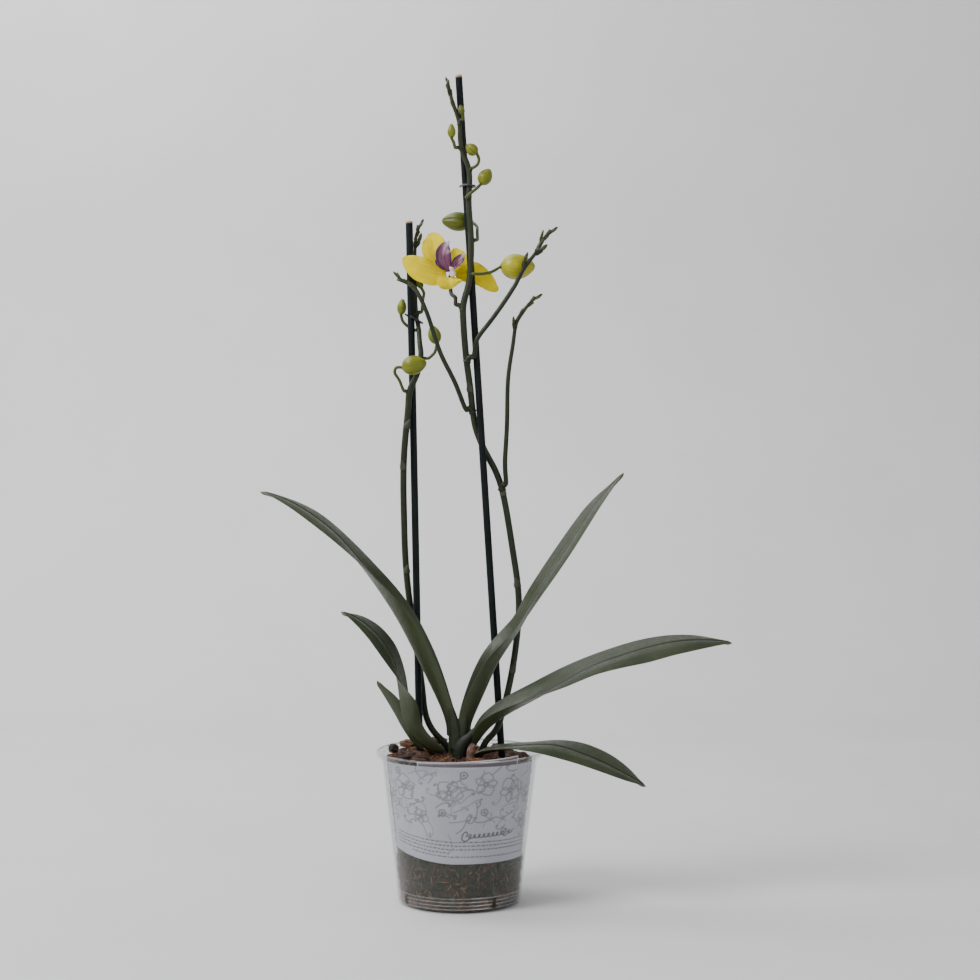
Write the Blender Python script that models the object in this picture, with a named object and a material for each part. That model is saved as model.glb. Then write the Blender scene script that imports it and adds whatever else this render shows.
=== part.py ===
"""Yellow moth orchid in a clear nursery pot: leaves, two flower spikes on canes, buds, bark and roots.

Frame: the origin is the centre of the pot's flat underside, +Z is up and the front faces -Y.
Lengths below are millimetres; add_mesh turns them into metres.
"""

import math
import random

import bpy
from mathutils import Matrix, Vector

MM = 0.001
UP = Vector((0.0, 0.0, 1.0))

# Pot: a standard 12 cm clear nursery pot.
POT_HEIGHT = 110.0
RIM_RADIUS = 61.0
BASE_RADIUS = 44.5
POT_WALL = 0.9
POT_FLOOR = 1.2
LIP_OUT = 4.0
LIP_TALL = 4.5
POT_SIDES = 48
SLOT_COUNT = 4

# Paper goods inside the wall.
SHEET = 0.4
SLEEVE_LOW = 36.0
GAP = 0.3

# Canes and plant.
STAKE_RADIUS = 2.7
SPIKE_RADIUS = 2.4
PEDICEL_RADIUS = 1.15
LEAF_THICK = 2.2
PETAL_THICK = 0.8
ROOT_RADIUS = 2.1
CROWN_RADIUS = 8.2
CLEARANCE = 0.7
STEM_SIDES = 8

# Depth of the two canes behind the middle of the pot.
LEFT_CANE_Y = 15.0
RIGHT_CANE_Y = 10.0

# Top of the potting mix at the pot's middle, below the rim.
MIX_DROP = 4.5

# Colours, as linear RGB.
CLEAR = (0.82, 0.84, 0.86)
LAVENDER = (0.50, 0.50, 0.56)
CARD_DARK = (0.10, 0.09, 0.10)
CANE_GREEN = (0.012, 0.022, 0.018)
CLIP_PURPLE = (0.030, 0.020, 0.035)
BARK_BROWN = (0.13, 0.055, 0.025)
CHIP_BROWN = (0.26, 0.10, 0.035)
ROOT_GREEN = (0.20, 0.24, 0.12)
STUMP_PINK = (0.22, 0.12, 0.10)
LEAF_GREEN = (0.075, 0.105, 0.050)
CROWN_GREEN = (0.035, 0.050, 0.020)
SPIKE_GREEN = (0.060, 0.065, 0.022)
BUD_GREEN = (0.28, 0.32, 0.035)
TIP_GREEN = (0.07, 0.09, 0.03)
PETAL_YELLOW = (0.72, 0.58, 0.06)
LIP_PURPLE = (0.17, 0.06, 0.16)
COLUMN_PALE = (0.75, 0.62, 0.66)


# ---------------------------------------------------------------- small tools


def clear_scene():
    for old in list(bpy.data.objects):
        bpy.data.objects.remove(old)


def material(name, colour, roughness=0.5, metallic=0.0):
    made = bpy.data.materials.new(name)
    made.use_nodes = True
    shader = made.node_tree.nodes["Principled BSDF"]
    shader.inputs["Base Color"].default_value = (*colour, 1.0)
    shader.inputs["Roughness"].default_value = roughness
    shader.inputs["Metallic"].default_value = metallic
    made.diffuse_color = (*colour, 1.0)
    return made


def add_mesh(name, points, faces, colour, roughness=0.5, cutter=False):
    """An object from points in millimetres; a cutter is only used by Booleans."""
    mesh = bpy.data.meshes.new(name)
    mesh.from_pydata([tuple(MM * c for c in point) for point in points], [], faces)
    mesh.shade_smooth()
    mesh.set_sharp_from_angle(angle=math.radians(50))
    obj = bpy.data.objects.new(name, mesh)
    bpy.context.scene.collection.objects.link(obj)
    if cutter:
        obj.hide_render = True
        obj.display_type = "WIRE"
    else:
        mesh.materials.append(material(name, colour, roughness))
    return obj


def boolean(obj, other, operation="DIFFERENCE"):
    cut = obj.modifiers.new(operation.lower() + "_" + other.name, "BOOLEAN")
    cut.operation = operation
    cut.object = other


def spline(rows, steps):
    """Catmull-Rom rows through the given rows, with so many steps between neighbours."""
    rows = [tuple(float(value) for value in row) for row in rows]
    padded = [rows[0], *rows, rows[-1]]
    out = []
    for i in range(len(rows) - 1):
        before, start, end, after = padded[i : i + 4]
        for step in range(steps):
            t = step / steps
            out.append(
                tuple(
                    0.5
                    * (
                        2 * b
                        + (c - a) * t
                        + (2 * a - 5 * b + 4 * c - d) * t * t
                        + (3 * b - a - 3 * c + d) * t**3
                    )
                    for a, b, c, d in zip(before, start, end, after)
                )
            )
    out.append(rows[-1])
    return out


def tangents(path):
    last = len(path) - 1
    return [(path[min(i + 1, last)] - path[max(i - 1, 0)]).normalized() for i in range(last + 1)]


def loft(name, rings, start, end, colour, roughness=0.5, cutter=False):
    """Closed skin over rings of equal size, with one point beyond each end."""
    size = len(rings[0])
    points = [point for ring in rings for point in ring]
    first_pole, last_pole = len(points), len(points) + 1
    points += [start, end]
    faces = []
    for level in range(len(rings) - 1):
        base = level * size
        for i in range(size):
            j = (i + 1) % size
            faces.append((base + i, base + j, base + size + j, base + size + i))
    top = (len(rings) - 1) * size
    for i in range(size):
        j = (i + 1) % size
        faces.append((first_pole, j, i))
        faces.append((last_pole, top + i, top + j))
    return add_mesh(name, points, faces, colour, roughness, cutter)


def tube(name, rows, colour, sides=STEM_SIDES, roughness=0.5, grow=0.0, cutter=False, flat=1.0, wide=None):
    """Round stem along rows of (x, y, z, radius), with domed ends; flat squashes it across its wide way."""
    path = [Vector(row[:3]) for row in rows]
    radii = [row[3] + grow for row in rows]
    along = tangents(path)
    side = Vector(wide) if wide else along[0].orthogonal()
    side = (side - along[0] * side.dot(along[0])).normalized()
    rings = []
    for i, point in enumerate(path):
        if i:
            side = along[i - 1].rotation_difference(along[i]) @ side
        side = (side - along[i] * side.dot(along[i])).normalized()
        other = along[i].cross(side)
        ring = []
        for k in range(sides):
            angle = math.tau * k / sides
            offset = side * math.cos(angle) + other * math.sin(angle) * flat
            ring.append(point + offset * radii[i])
        rings.append(ring)
    start = path[0] - along[0] * (0.4 * radii[0] + grow)
    end = path[-1] + along[-1] * (0.4 * radii[-1] + grow)
    return loft(name, rings, start, end, colour, roughness, cutter)


def blade(name, stations, colour, thick, facing=None, roughness=0.5, grow=0.0, cutter=False):
    """Leaf or petal: stations are (x, y, z, half width, near angle, far angle) along the midrib.

    The angles say how far each half of the blade is raised towards its upper side. A leaf's near half
    is the one towards the front; a petal with a facing direction has its near half to the left of its way
    out.
    """
    rows = spline(stations, 2)
    path = [Vector(row[:3]) for row in rows]
    along = tangents(path)
    outward = Vector((path[-1].x - path[0].x, path[-1].y - path[0].y, 0.0))
    across = UP.cross(outward).normalized()
    rightward = across.y > 0
    if not rightward:
        across = -across
    rings = []
    for i, point in enumerate(path):
        half, near, far = rows[i][3] + grow, math.radians(rows[i][4]), math.radians(rows[i][5])
        if facing:
            away = along[i].cross(facing).normalized()
            lift = away.cross(along[i])
        else:
            away = (across - along[i] * across.dot(along[i])).normalized()
            lift = along[i].cross(away) if rightward else away.cross(along[i])
        ring = blade_ring(point, away, lift, half, near, far, thick, grow)
        if away.cross(lift).dot(along[i]) > 0:
            ring.reverse()
        rings.append(ring)
    start = path[0] - along[0] * (0.5 * thick + grow)
    end = path[-1] + along[-1] * (1.2 * thick + grow)
    return loft(name, rings, start, end, colour, roughness, cutter)


def blade_ring(point, away, lift, half, near, far, thick, grow):
    """Eight points round one section: margins, middles and midrib, above and below."""
    rib = min(thick, 1.1 * half) / 2 + grow
    middle = 0.8 * rib

    def arm(sign, angle):
        inner = sign * away * math.cos(0.8 * angle) + lift * math.sin(0.8 * angle)
        outer = sign * away * math.cos(1.15 * angle) + lift * math.sin(1.15 * angle)
        centre = point + inner * (0.52 * half)
        square = lift * math.cos(angle) - sign * away * math.sin(angle)
        return centre + square * middle, centre + outer * (0.48 * half), centre - square * middle

    near_top, near_edge, near_under = arm(-1.0, near)
    far_top, far_edge, far_under = arm(1.0, far)
    valley = point + lift * (0.5 * rib)
    keel = point - lift * (1.1 * rib)
    return [near_edge, near_top, valley, far_top, far_edge, far_under, keel, near_under]


# ---------------------------------------------------------------- pot


def outer_radius(z):
    """Outside of the pot's wall at this height."""
    wall_top = POT_HEIGHT - LIP_TALL
    return BASE_RADIUS + (RIM_RADIUS - LIP_OUT - BASE_RADIUS) * min(z / wall_top, 1.1)


def inner_radius(z):
    return outer_radius(z) - POT_WALL


def revolve(name, profile, colour, sides, roughness=0.5):
    """Turned solid from a closed profile of (radius, height) whose first and last points lie on the axis."""
    rim = profile[1:-1]
    points = [Vector((0, 0, profile[0][1])), Vector((0, 0, profile[-1][1]))]
    for radius, height in rim:
        for k in range(sides):
            angle = math.tau * k / sides
            points.append(Vector((radius * math.cos(angle), radius * math.sin(angle), height)))
    faces = []
    for level in range(len(rim) - 1):
        for k in range(sides):
            a = 2 + level * sides + k
            b = 2 + level * sides + (k + 1) % sides
            faces.append((a, b, b + sides, a + sides))
    last = 2 + (len(rim) - 1) * sides
    for k in range(sides):
        n = (k + 1) % sides
        faces.append((0, 2 + n, 2 + k))
        faces.append((1, last + k, last + n))
    return add_mesh(name, points, faces, colour, roughness)


def build_pot():
    wall_top = POT_HEIGHT - LIP_TALL
    bead = 0.45
    profile = [(0, 0), (BASE_RADIUS - 1.0, 0), (outer_radius(1.0), 1.0)]
    for height in (3.0, 5.6, 8.2, 10.8):
        profile.append((outer_radius(height - 0.9), height - 0.9))
        profile.append((outer_radius(height) + bead, height))
        profile.append((outer_radius(height + 0.9), height + 0.9))
    profile += [
        (outer_radius(wall_top), wall_top),
        (RIM_RADIUS - 0.8, wall_top + 0.6),
        (RIM_RADIUS, wall_top + 1.4),
        (RIM_RADIUS, POT_HEIGHT - 0.3),
        (RIM_RADIUS - 0.4, POT_HEIGHT),
        (RIM_RADIUS - POT_WALL - 0.2, POT_HEIGHT),
        (RIM_RADIUS - POT_WALL - 0.3, wall_top + 2.0),
        (inner_radius(wall_top) + 0.6, wall_top + 1.4),
        (inner_radius(wall_top), wall_top + 0.8),
        (inner_radius(POT_FLOOR + 1.0), POT_FLOOR + 1.0),
        (inner_radius(POT_FLOOR) - 1.0, POT_FLOOR),
        (0, POT_FLOOR),
    ]
    pot = revolve("clear_pot", profile, CLEAR, POT_SIDES, 0.15)
    for k in range(SLOT_COUNT):
        angle = math.radians(34.0 - 90.0 + 360.0 / SLOT_COUNT * k)
        outward = Vector((math.cos(angle), math.sin(angle), 0.0))
        place = outward * outer_radius(6.5) + UP * 6.5
        boolean(pot, box_cutter(f"slot_cutter_{k + 1}", place, angle, (6.0, 3.0, 7.0)))
        hole = outward * (0.62 * BASE_RADIUS) + UP * (POT_FLOOR / 2)
        boolean(pot, box_cutter(f"hole_cutter_{k + 1}", hole, angle, (9.0, 3.5, 3 * POT_FLOOR)))
    return pot


def box_cutter(name, centre, turn, size):
    corners = []
    for sx in (-0.5, 0.5):
        for sy in (-0.5, 0.5):
            for sz in (-0.5, 0.5):
                corners.append(Vector((sx * size[0], sy * size[1], sz * size[2])))
    spin = Matrix.Rotation(turn, 3, "Z")
    points = [centre + spin @ corner for corner in corners]
    faces = [(0, 1, 3, 2), (4, 6, 7, 5), (0, 4, 5, 1), (2, 3, 7, 6), (0, 2, 6, 4), (1, 5, 7, 3)]
    return add_mesh(name, points, faces, CLEAR, cutter=True)


def curved_sheet(name, start, stop, columns, low, high, inset, colour, roughness):
    """Paper curved against the wall between two angles from the front; low and high give heights."""
    size = 4
    rings = []
    for i in range(columns + 1):
        share = i / columns
        angle = math.radians(start + (stop - start) * share)
        outward = Vector((math.sin(angle), -math.cos(angle), 0.0))
        bottom, top = low(share), high(share)
        ring = []
        for height, depth in ((bottom, inset), (top, inset), (top, inset + SHEET), (bottom, inset + SHEET)):
            ring.append(outward * (inner_radius(height) - depth) + UP * height)
        rings.append(ring)
    points = [point for ring in rings for point in ring]
    faces = [(3, 2, 1, 0), tuple(4 * columns + k for k in range(4))]
    for level in range(columns):
        for k in range(size):
            a, b = level * size + k, level * size + (k + 1) % size
            faces.append((a, b, b + size, a + size))
    faces = [tuple(reversed(face)) for face in faces]
    return add_mesh(name, points, faces, colour, roughness)


def build_sleeve():
    """Printed paper band: wider at the front left, cut lower towards the right."""

    def low(share):
        return SLEEVE_LOW + 7.0 * max(0.0, 1.0 - share * 2.2) ** 1.5

    def high(share):
        return POT_HEIGHT - LIP_TALL - 0.8 + 0.8 * math.sin(math.pi * share)

    return curved_sheet("printed_sleeve", -67.0, 70.0, 26, low, high, GAP, LAVENDER, 0.6)


def build_care_card():
    """Grower's card tucked behind the sleeve, its top edge rising past the rim to the right."""

    def low(share):
        return 0.56 * POT_HEIGHT + 4.0 * share

    def high(share):
        return POT_HEIGHT - 1.9 + 3.1 * share

    inset = GAP + SHEET + GAP
    return curved_sheet("care_card", -32.0, 50.0, 16, low, high, inset, CARD_DARK, 0.45)


# ---------------------------------------------------------------- canes


def cane_x(side, z):
    """Sideways place of a cane's axis at height z above the rim."""
    if side == "left":
        return -29.8 - 0.0199 * z
    return 30.6 - 0.0634 * z


def build_cane(name, side, depth, top):
    """Straight dyed cane from low in the mix to its sawn top; returns the cutter of its socket."""
    rows = []
    for height in (-0.88 * POT_HEIGHT, top):
        rows.append((cane_x(side, height), depth, POT_HEIGHT + height, STAKE_RADIUS))
    return stem_with_cutter(name, rows, CANE_GREEN, 12, 0.45)[1]


def build_clip(name, cane, stem, tilt):
    """Open plastic hook round a cane and a stem, open behind; cane and stem are (x, y, z, radius)."""
    wire = 0.75
    middle = Vector(((cane[0] + stem[0]) / 2, (cane[1] + stem[1]) / 2, cane[2]))
    apart = Vector((stem[0] - cane[0], stem[1] - cane[1], 0.0))
    long_way = apart.normalized()
    short_way = UP.cross(long_way)
    reach = max(cane[3], stem[3]) + wire + CLEARANCE
    turns = 16
    rows = []
    for i in range(turns + 1):
        angle = math.radians(-140.0 + 280.0 * i / turns)
        slide = max(-1.0, min(1.0, 2.0 * math.cos(angle))) * apart.length / 2
        place = middle + long_way * (math.cos(angle) * reach + slide) + short_way * math.sin(angle) * reach
        place += UP * tilt * (place - middle).x
        rows.append((*place, wire))
    tube(name, rows, CLIP_PURPLE, sides=6, roughness=0.4)


# ---------------------------------------------------------------- plant


class Stem:
    """A sampled stem that buds and branches can grow from; heights are above the pot's rim."""

    def __init__(self, name, rows, colour=SPIKE_GREEN, steps=3, sides=STEM_SIDES):
        self.name = name
        self.rows = spline(lifted(rows), steps)
        self.colour = colour
        self.sides = sides

    def build(self):
        return tube(self.name, self.rows, self.colour, sides=self.sides)

    def cutter(self):
        return tube(self.name + "_cutter", self.rows, self.colour, sides=self.sides, grow=GAP, cutter=True)

    def at(self, z):
        """Axis point, radius and direction where the stem passes this height above the rim."""
        height = POT_HEIGHT + z
        for low, high in zip(self.rows, self.rows[1:]):
            if low[2] <= height <= high[2]:
                share = (height - low[2]) / (high[2] - low[2])
                point = Vector(low[:3]).lerp(Vector(high[:3]), share)
                radius = low[3] + (high[3] - low[3]) * share
                return point, radius, (Vector(high[:3]) - Vector(low[:3])).normalized()
        raise ValueError(f"{self.name} doesn't reach {z}")

    def shoot(self, z, way, radius):
        """First two rows of a shoot that leaves this stem at height z, heading the given way."""
        point, stem_radius, along = self.at(z)
        out = Vector(way)
        out = (out - along * out.dot(along) * 0.8).normalized()
        start = point + out * (stem_radius + GAP + 0.45 * radius)
        rows = [start, start + out * 1.6 * radius]
        return [(p.x, p.y, p.z - POT_HEIGHT, radius) for p in rows]


# How full a bud is along its length: widest a third of the way along, then closing to a blunt point.
BUD_SHAPE = ((0.05, 0.42), (0.15, 0.74), (0.32, 0.97), (0.5, 1.0), (0.68, 0.86), (0.84, 0.58), (0.95, 0.28))


def build_bud(name, host, z, way, route, apex, width):
    """Flower bud and its stalk: the stalk follows route, and the bud runs from its last point to apex."""
    rows = host.shoot(z, way, PEDICEL_RADIUS) + [(*point, PEDICEL_RADIUS) for point in route]
    stalk = spline(lifted(rows), 2)
    base = Vector(stalk[-1][:3])
    tip = Vector((apex[0], apex[1], POT_HEIGHT + apex[2]))
    for share, fullness in BUD_SHAPE:
        place = base.lerp(tip, share)
        stalk.append((*place, max(fullness * width / 2, PEDICEL_RADIUS)))
    return tube(name, stalk, BUD_GREEN, roughness=0.4)


def build_tip_bud(name, host, z, way, length, width):
    """Tiny closed bud sitting against a stem."""
    point, stem_radius, along = host.at(z)
    out = Vector(way)
    out = (out - along * out.dot(along)).normalized()
    base = point + out * (stem_radius + GAP + 0.3 * width)
    heading = (along + out * 0.3).normalized()
    rows = []
    for share, fullness in ((0.0, 0.5), (0.3, 1.0), (0.65, 0.85), (0.95, 0.35)):
        place = base + heading * (length * share)
        rows.append((*place, fullness * width / 2))
    return tube(name, rows, TIP_GREEN, sides=6)


def lifted(stations):
    return [(x, y, POT_HEIGHT + z, *rest) for x, y, z, *rest in stations]


# Leaves: x, y, height above the rim, half width, angle of the near half, angle of the far half.
LEAVES = {
    "leaf_upper_left": (
        (-7.6, 0.0, 10.8, 2.4, 50, 50),
        (-7.8, -0.3, 16.0, 6.6, 62, 60),
        (-9.2, -0.5, 23.0, 7.4, 62, 62),
        (-13.6, -1.0, 35.0, 8.6, 62, 66),
        (-26.5, -2.5, 62.0, 12.5, 60, 68),
        (-44.0, -4.0, 96.5, 14.0, 42, 54),
        (-66.0, -4.0, 129.5, 14.5, 8, 27),
        (-88.0, -2.0, 155.5, 14.5, -14, 14),
        (-107.0, 0.0, 171.0, 13.0, -19, 15),
        (-123.0, 2.0, 180.5, 9.5, -18, 12),
        (-137.0, 4.0, 186.3, 5.0, -14, 8),
        (-144.6, 5.0, 188.3, 1.7, -8, 5),
    ),
    "leaf_middle_left": (
        (-12.4, -2.5, -1.0, 3.0, 60, 50),
        (-21.0, -6.0, 2.0, 7.0, 66, 50),
        (-31.5, -9.5, 10.0, 9.5, 70, 50),
        (-38.8, -12.5, 22.0, 11.5, 66, 48),
        (-41.6, -14.0, 38.0, 13.8, 34, 40),
        (-43.6, -18.0, 54.5, 15.4, -10, 36),
        (-50.0, -22.0, 73.0, 16.0, -34, 36),
        (-61.0, -24.0, 88.0, 14.5, -34, 32),
        (-73.0, -25.0, 97.5, 9.5, -28, 24),
        (-82.5, -25.5, 101.8, 2.6, -18, 10),
    ),
    "leaf_lower_left": (
        (-12.0, 5.0, -5.5, 2.8, 56, 50),
        (-20.0, 5.6, -3.0, 6.0, 60, 52),
        (-31.0, 5.0, 3.4, 8.5, 62, 48),
        (-39.0, 2.6, 14.0, 9.8, 56, 44),
        (-45.5, 0.8, 26.0, 9.6, 52, 38),
        (-52.5, -2.0, 38.5, 7.5, 44, 30),
        (-58.8, -3.0, 48.8, 2.4, 26, 20),
    ),
    "leaf_upper_right": (
        (6.4, 0.0, 10.8, 2.4, 55, 55),
        (6.5, -0.2, 16.0, 7.0, 70, 70),
        (8.4, -0.7, 23.5, 9.8, 70, 74),
        (17.5, -2.0, 44.5, 12.5, 50, 76),
        (27.5, -4.0, 66.0, 13.0, 34, 64),
        (44.0, -6.0, 91.5, 13.0, 4, 32),
        (56.0, -6.0, 114.0, 14.0, -12, 26),
        (76.5, -4.0, 144.5, 15.0, -14, 25),
        (96.5, -1.0, 175.0, 12.0, -16, 22),
        (110.0, 1.0, 191.5, 6.5, -14, 16),
        (118.8, 2.5, 201.0, 1.8, -6, 8),
    ),
    "leaf_middle_right": (
        (9.0, -3.0, 2.6, 2.6, 50, 50),
        (13.5, -4.5, 8.8, 7.0, 52, 62),
        (21.5, -6.0, 18.5, 10.0, 40, 68),
        (35.0, -7.5, 28.5, 11.5, 22, 62),
        (55.0, -9.5, 39.5, 13.0, 4, 50),
        (76.0, -11.0, 51.5, 14.5, -14, 38),
        (96.0, -12.0, 62.0, 16.0, -20, 26),
        (115.0, -13.0, 69.0, 16.5, -26, 24),
        (134.0, -14.0, 75.0, 16.5, -34, 22),
        (153.0, -15.0, 79.5, 14.5, -36, 19),
        (171.0, -16.0, 81.3, 11.0, -36, 16),
        (186.0, -17.0, 81.0, 6.0, -32, 10),
        (194.8, -17.5, 79.9, 2.0, -20, 4),
    ),
    "leaf_lower_right": (
        (11.5, -5.5, -4.0, 2.6, 30, 36),
        (17.5, -9.0, -0.6, 5.0, 18, 26),
        (27.0, -13.0, 2.2, 8.0, 8, 18),
        (37.0, -16.5, 4.0, 10.0, 2, 12),
        (RIM_RADIUS - 11.0, -19.0, 5.8, 13.0, -10, 4),
        (RIM_RADIUS + 8.0, -22.0, 6.0, 15.5, -22, 8),
        (RIM_RADIUS + 27.0, -25.0, 0.8, 15.5, -20, 20),
        (RIM_RADIUS + 46.5, -28.0, -7.2, 13.0, -18, 24),
        (RIM_RADIUS + 61.0, -30.0, -14.8, 8.0, -16, 20),
        (RIM_RADIUS + 70.5, -31.5, -20.4, 2.2, -8, 8),
    ),
}


def build_leaves():
    cutters = []
    for name, stations in LEAVES.items():
        rows = lifted(stations)
        blade(name, rows, LEAF_GREEN, LEAF_THICK, roughness=0.42)
        if "upper" not in name:
            cutters.append(blade(name + "_cutter", rows, LEAF_GREEN, LEAF_THICK, grow=GAP, cutter=True))
    return cutters


def stem_with_cutter(name, rows, colour, sides, roughness=0.5, **shape):
    made = tube(name, rows, colour, sides=sides, roughness=roughness, **shape)
    cutter = tube(name + "_cutter", rows, colour, sides=sides, grow=GAP, cutter=True, **shape)
    return made, cutter


def build_crown():
    """The plant's short stem, wrapped in old leaf sheaths, from inside the mix to the youngest leaves."""
    shape = [(0.3, -16, 0.66), (0.3, -10, 0.9), (0.4, -3, 0.98), (0.3, 4, 0.92)]
    shape += [(-0.3, 9, 0.62), (-0.9, 13, 0.3), (-1.2, 22, 0.14)]
    rows = [(x, 0.0, POT_HEIGHT + z, CROWN_RADIUS * share) for x, z, share in shape]
    return stem_with_cutter("crown", rows, CROWN_GREEN, 12, 0.55, flat=0.8, wide=(1, 0, 0))[1]


def build_stump():
    """Cut end of an old spike, dried pink-brown, in front of the crown."""
    rows = [(7.4, -11.6, -9.0, 2.4), (8.0, -11.8, -3.0, 2.9), (8.8, -12.2, 2.0, 2.9), (10.4, -12.4, 5.2, 2.3)]
    return stem_with_cutter("old_stem_stump", lifted(rows), STUMP_PINK, 8, 0.8)[1]


def build_roots():
    """Thick aerial roots: out of the crown, across the mix and down inside the clear wall."""
    hollow = [(0, 0, POT_HEIGHT - 17, 1.6 * CROWN_RADIUS), (0, 0, POT_HEIGHT - 11, 1.6 * CROWN_RADIUS)]
    cutters = [tube("root_hollow_cutter", hollow, ROOT_GREEN, sides=12, cutter=True)]
    plans = ((-46, 9), (-12, 7), (30, 12), (75, 10), (-150, 11))
    wall = inner_radius(0.4 * POT_HEIGHT) - ROOT_RADIUS - 3.0
    for number, (turn, lowest) in enumerate(plans, 1):
        foot = inner_radius(lowest) - ROOT_RADIUS - 1.2
        route = (
            (CROWN_RADIUS + GAP + ROOT_RADIUS + 0.6, POT_HEIGHT - 14, 0),
            (0.45 * wall, 0.8 * POT_HEIGHT, 2),
            (0.8 * wall, 0.62 * POT_HEIGHT, 6),
            (0.98 * wall, 0.42 * POT_HEIGHT, 8),
            (foot + 0.6, 0.24 * POT_HEIGHT, 3),
            (foot, lowest, 7),
        )
        rows = []
        for radius, height, twist in route:
            angle = math.radians(turn + twist)
            rows.append((radius * math.sin(angle), -radius * math.cos(angle), height, ROOT_RADIUS))
        cutters.append(stem_with_cutter(f"root_{number}", spline(rows, 2), ROOT_GREEN, 6, 0.7)[1])
    return cutters


# Bark chips on top: x, y, height of the middle above the rim, length, width, height, turn in degrees.
CHIPS = (
    (-48.5, 2.0, 0.6, 9.0, 8.0, 8.5, 20),
    (-40.0, -22.0, -3.2, 15.0, 8.0, 6.0, 50),
    (-29.0, -35.0, -3.4, 16.0, 8.0, 6.0, 15),
    (-27.0, -19.0, -3.6, 15.0, 8.0, 6.5, -35),
    (-39.0, 27.0, 0.4, 15.0, 9.0, 7.0, -30),
    (-17.0, 39.0, 0.8, 16.0, 9.0, 8.0, 25),
    (7.0, 40.0, -1.2, 14.0, 8.0, 7.0, -15),
    (28.0, 33.0, -3.0, 14.0, 9.0, 7.0, 40),
    (17.0, -35.0, -4.0, 15.0, 8.0, 6.0, -25),
)


def chip_points(seed, size, grow):
    """Corners of one broken chip about its middle."""
    pick = random.Random(seed)
    points = []
    count = 16
    for k in range(count):
        height = 1 - 2 * (k + 0.5) / count
        spread = math.sqrt(1 - height * height)
        way = Vector((spread * math.cos(2.4 * k), spread * math.sin(2.4 * k), height))
        blunt = min(1.25, 1.0 / max(abs(way.x), abs(way.y), abs(way.z)) ** 0.7) * pick.uniform(0.84, 1.0)
        corner = Vector([0.5 * blunt * step * side for step, side in zip(way, size)])
        points.append(corner + corner.normalized() * grow)
    return points


def hull_faces(points):
    """Triangles of the convex hull, found by testing every plane through three points."""
    faces = []
    numbers = range(len(points))
    for i in numbers:
        for j in range(i + 1, len(points)):
            for k in range(j + 1, len(points)):
                normal = (points[j] - points[i]).cross(points[k] - points[i])
                sides = [normal.dot(points[n] - points[i]) for n in numbers if n not in (i, j, k)]
                if max(sides) <= 0:
                    faces.append((i, j, k))
                elif min(sides) >= 0:
                    faces.append((i, k, j))
    return faces


def build_chips():
    cutters = []
    for number, (x, y, z, length, width, height, turn) in enumerate(CHIPS, 1):
        place = Vector((x, y, POT_HEIGHT + z))
        spin = Matrix.Rotation(math.radians(turn), 3, "Z")
        for grow in (0.0, 2 * GAP):
            points = [place + spin @ corner for corner in chip_points(number, (length, width, height), grow)]
            name = f"bark_chip_{number}" + ("_cutter" if grow else "")
            made = add_mesh(name, points, hull_faces(points), CHIP_BROWN, 0.85, cutter=grow > 0)
        cutters.append(made)
    return cutters


def mix_height(x, y):
    """Top of the potting mix: a mound at the back left and a hollow at the right."""
    base = POT_HEIGHT - MIX_DROP
    mound = 5.5 * math.exp(-((x + 22) ** 2 + (y - 30) ** 2) / 420)
    hollow = 7.0 * math.exp(-((x - 39) ** 2 + (y + 2) ** 2) / 240)
    ripple = 0.7 * math.sin(0.23 * x + 0.6) * math.cos(0.19 * y)
    return base + mound - hollow + ripple


def build_mix(cutters):
    """Bark and fibre filling the pot, with sockets for what stands in it."""
    step_at = SLEEVE_LOW - 4.0
    narrow = GAP + 2 * (SHEET + GAP)
    edge = inner_radius(POT_HEIGHT - MIX_DROP - 1.5) - narrow
    levels = [
        (inner_radius(POT_FLOOR + 1.2) - 1.6, POT_FLOOR + GAP),
        (inner_radius(POT_FLOOR + 2.6) - GAP, POT_FLOOR + 2.6),
        (inner_radius(step_at) - GAP, step_at),
        (inner_radius(step_at + 1.5) - narrow, step_at + 1.5),
    ]
    levels += [(edge * share, None) for share in (1.0, 0.92, 0.75, 0.55, 0.3)]
    rings = []
    for radius, height in levels:
        ring = []
        for k in range(POT_SIDES):
            angle = math.tau * k / POT_SIDES
            x, y = radius * math.cos(angle), radius * math.sin(angle)
            top = mix_height(x, y) - (1.2 if radius == edge else 0.0)
            ring.append(Vector((x, y, top if height is None else height)))
        rings.append(ring)
    bottom = Vector((0, 0, POT_FLOOR + GAP))
    mix = loft("potting_bark", rings, bottom, Vector((0, 0, mix_height(0, 0))), BARK_BROWN, 0.9)
    for cutter in cutters:
        boolean(mix, cutter)


# Spikes and side stems: x, y, height above the rim, radius.
RIGHT_FRONT = RIGHT_CANE_Y - STAKE_RADIUS - SPIKE_RADIUS - CLEARANCE
RIGHT_BEHIND = RIGHT_CANE_Y + STAKE_RADIUS + SPIKE_RADIUS + CLEARANCE
LEFT_FRONT = LEFT_CANE_Y - STAKE_RADIUS - SPIKE_RADIUS - CLEARANCE
LEFT_BEHIND = LEFT_CANE_Y + STAKE_RADIUS + SPIKE_RADIUS + CLEARANCE

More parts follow.
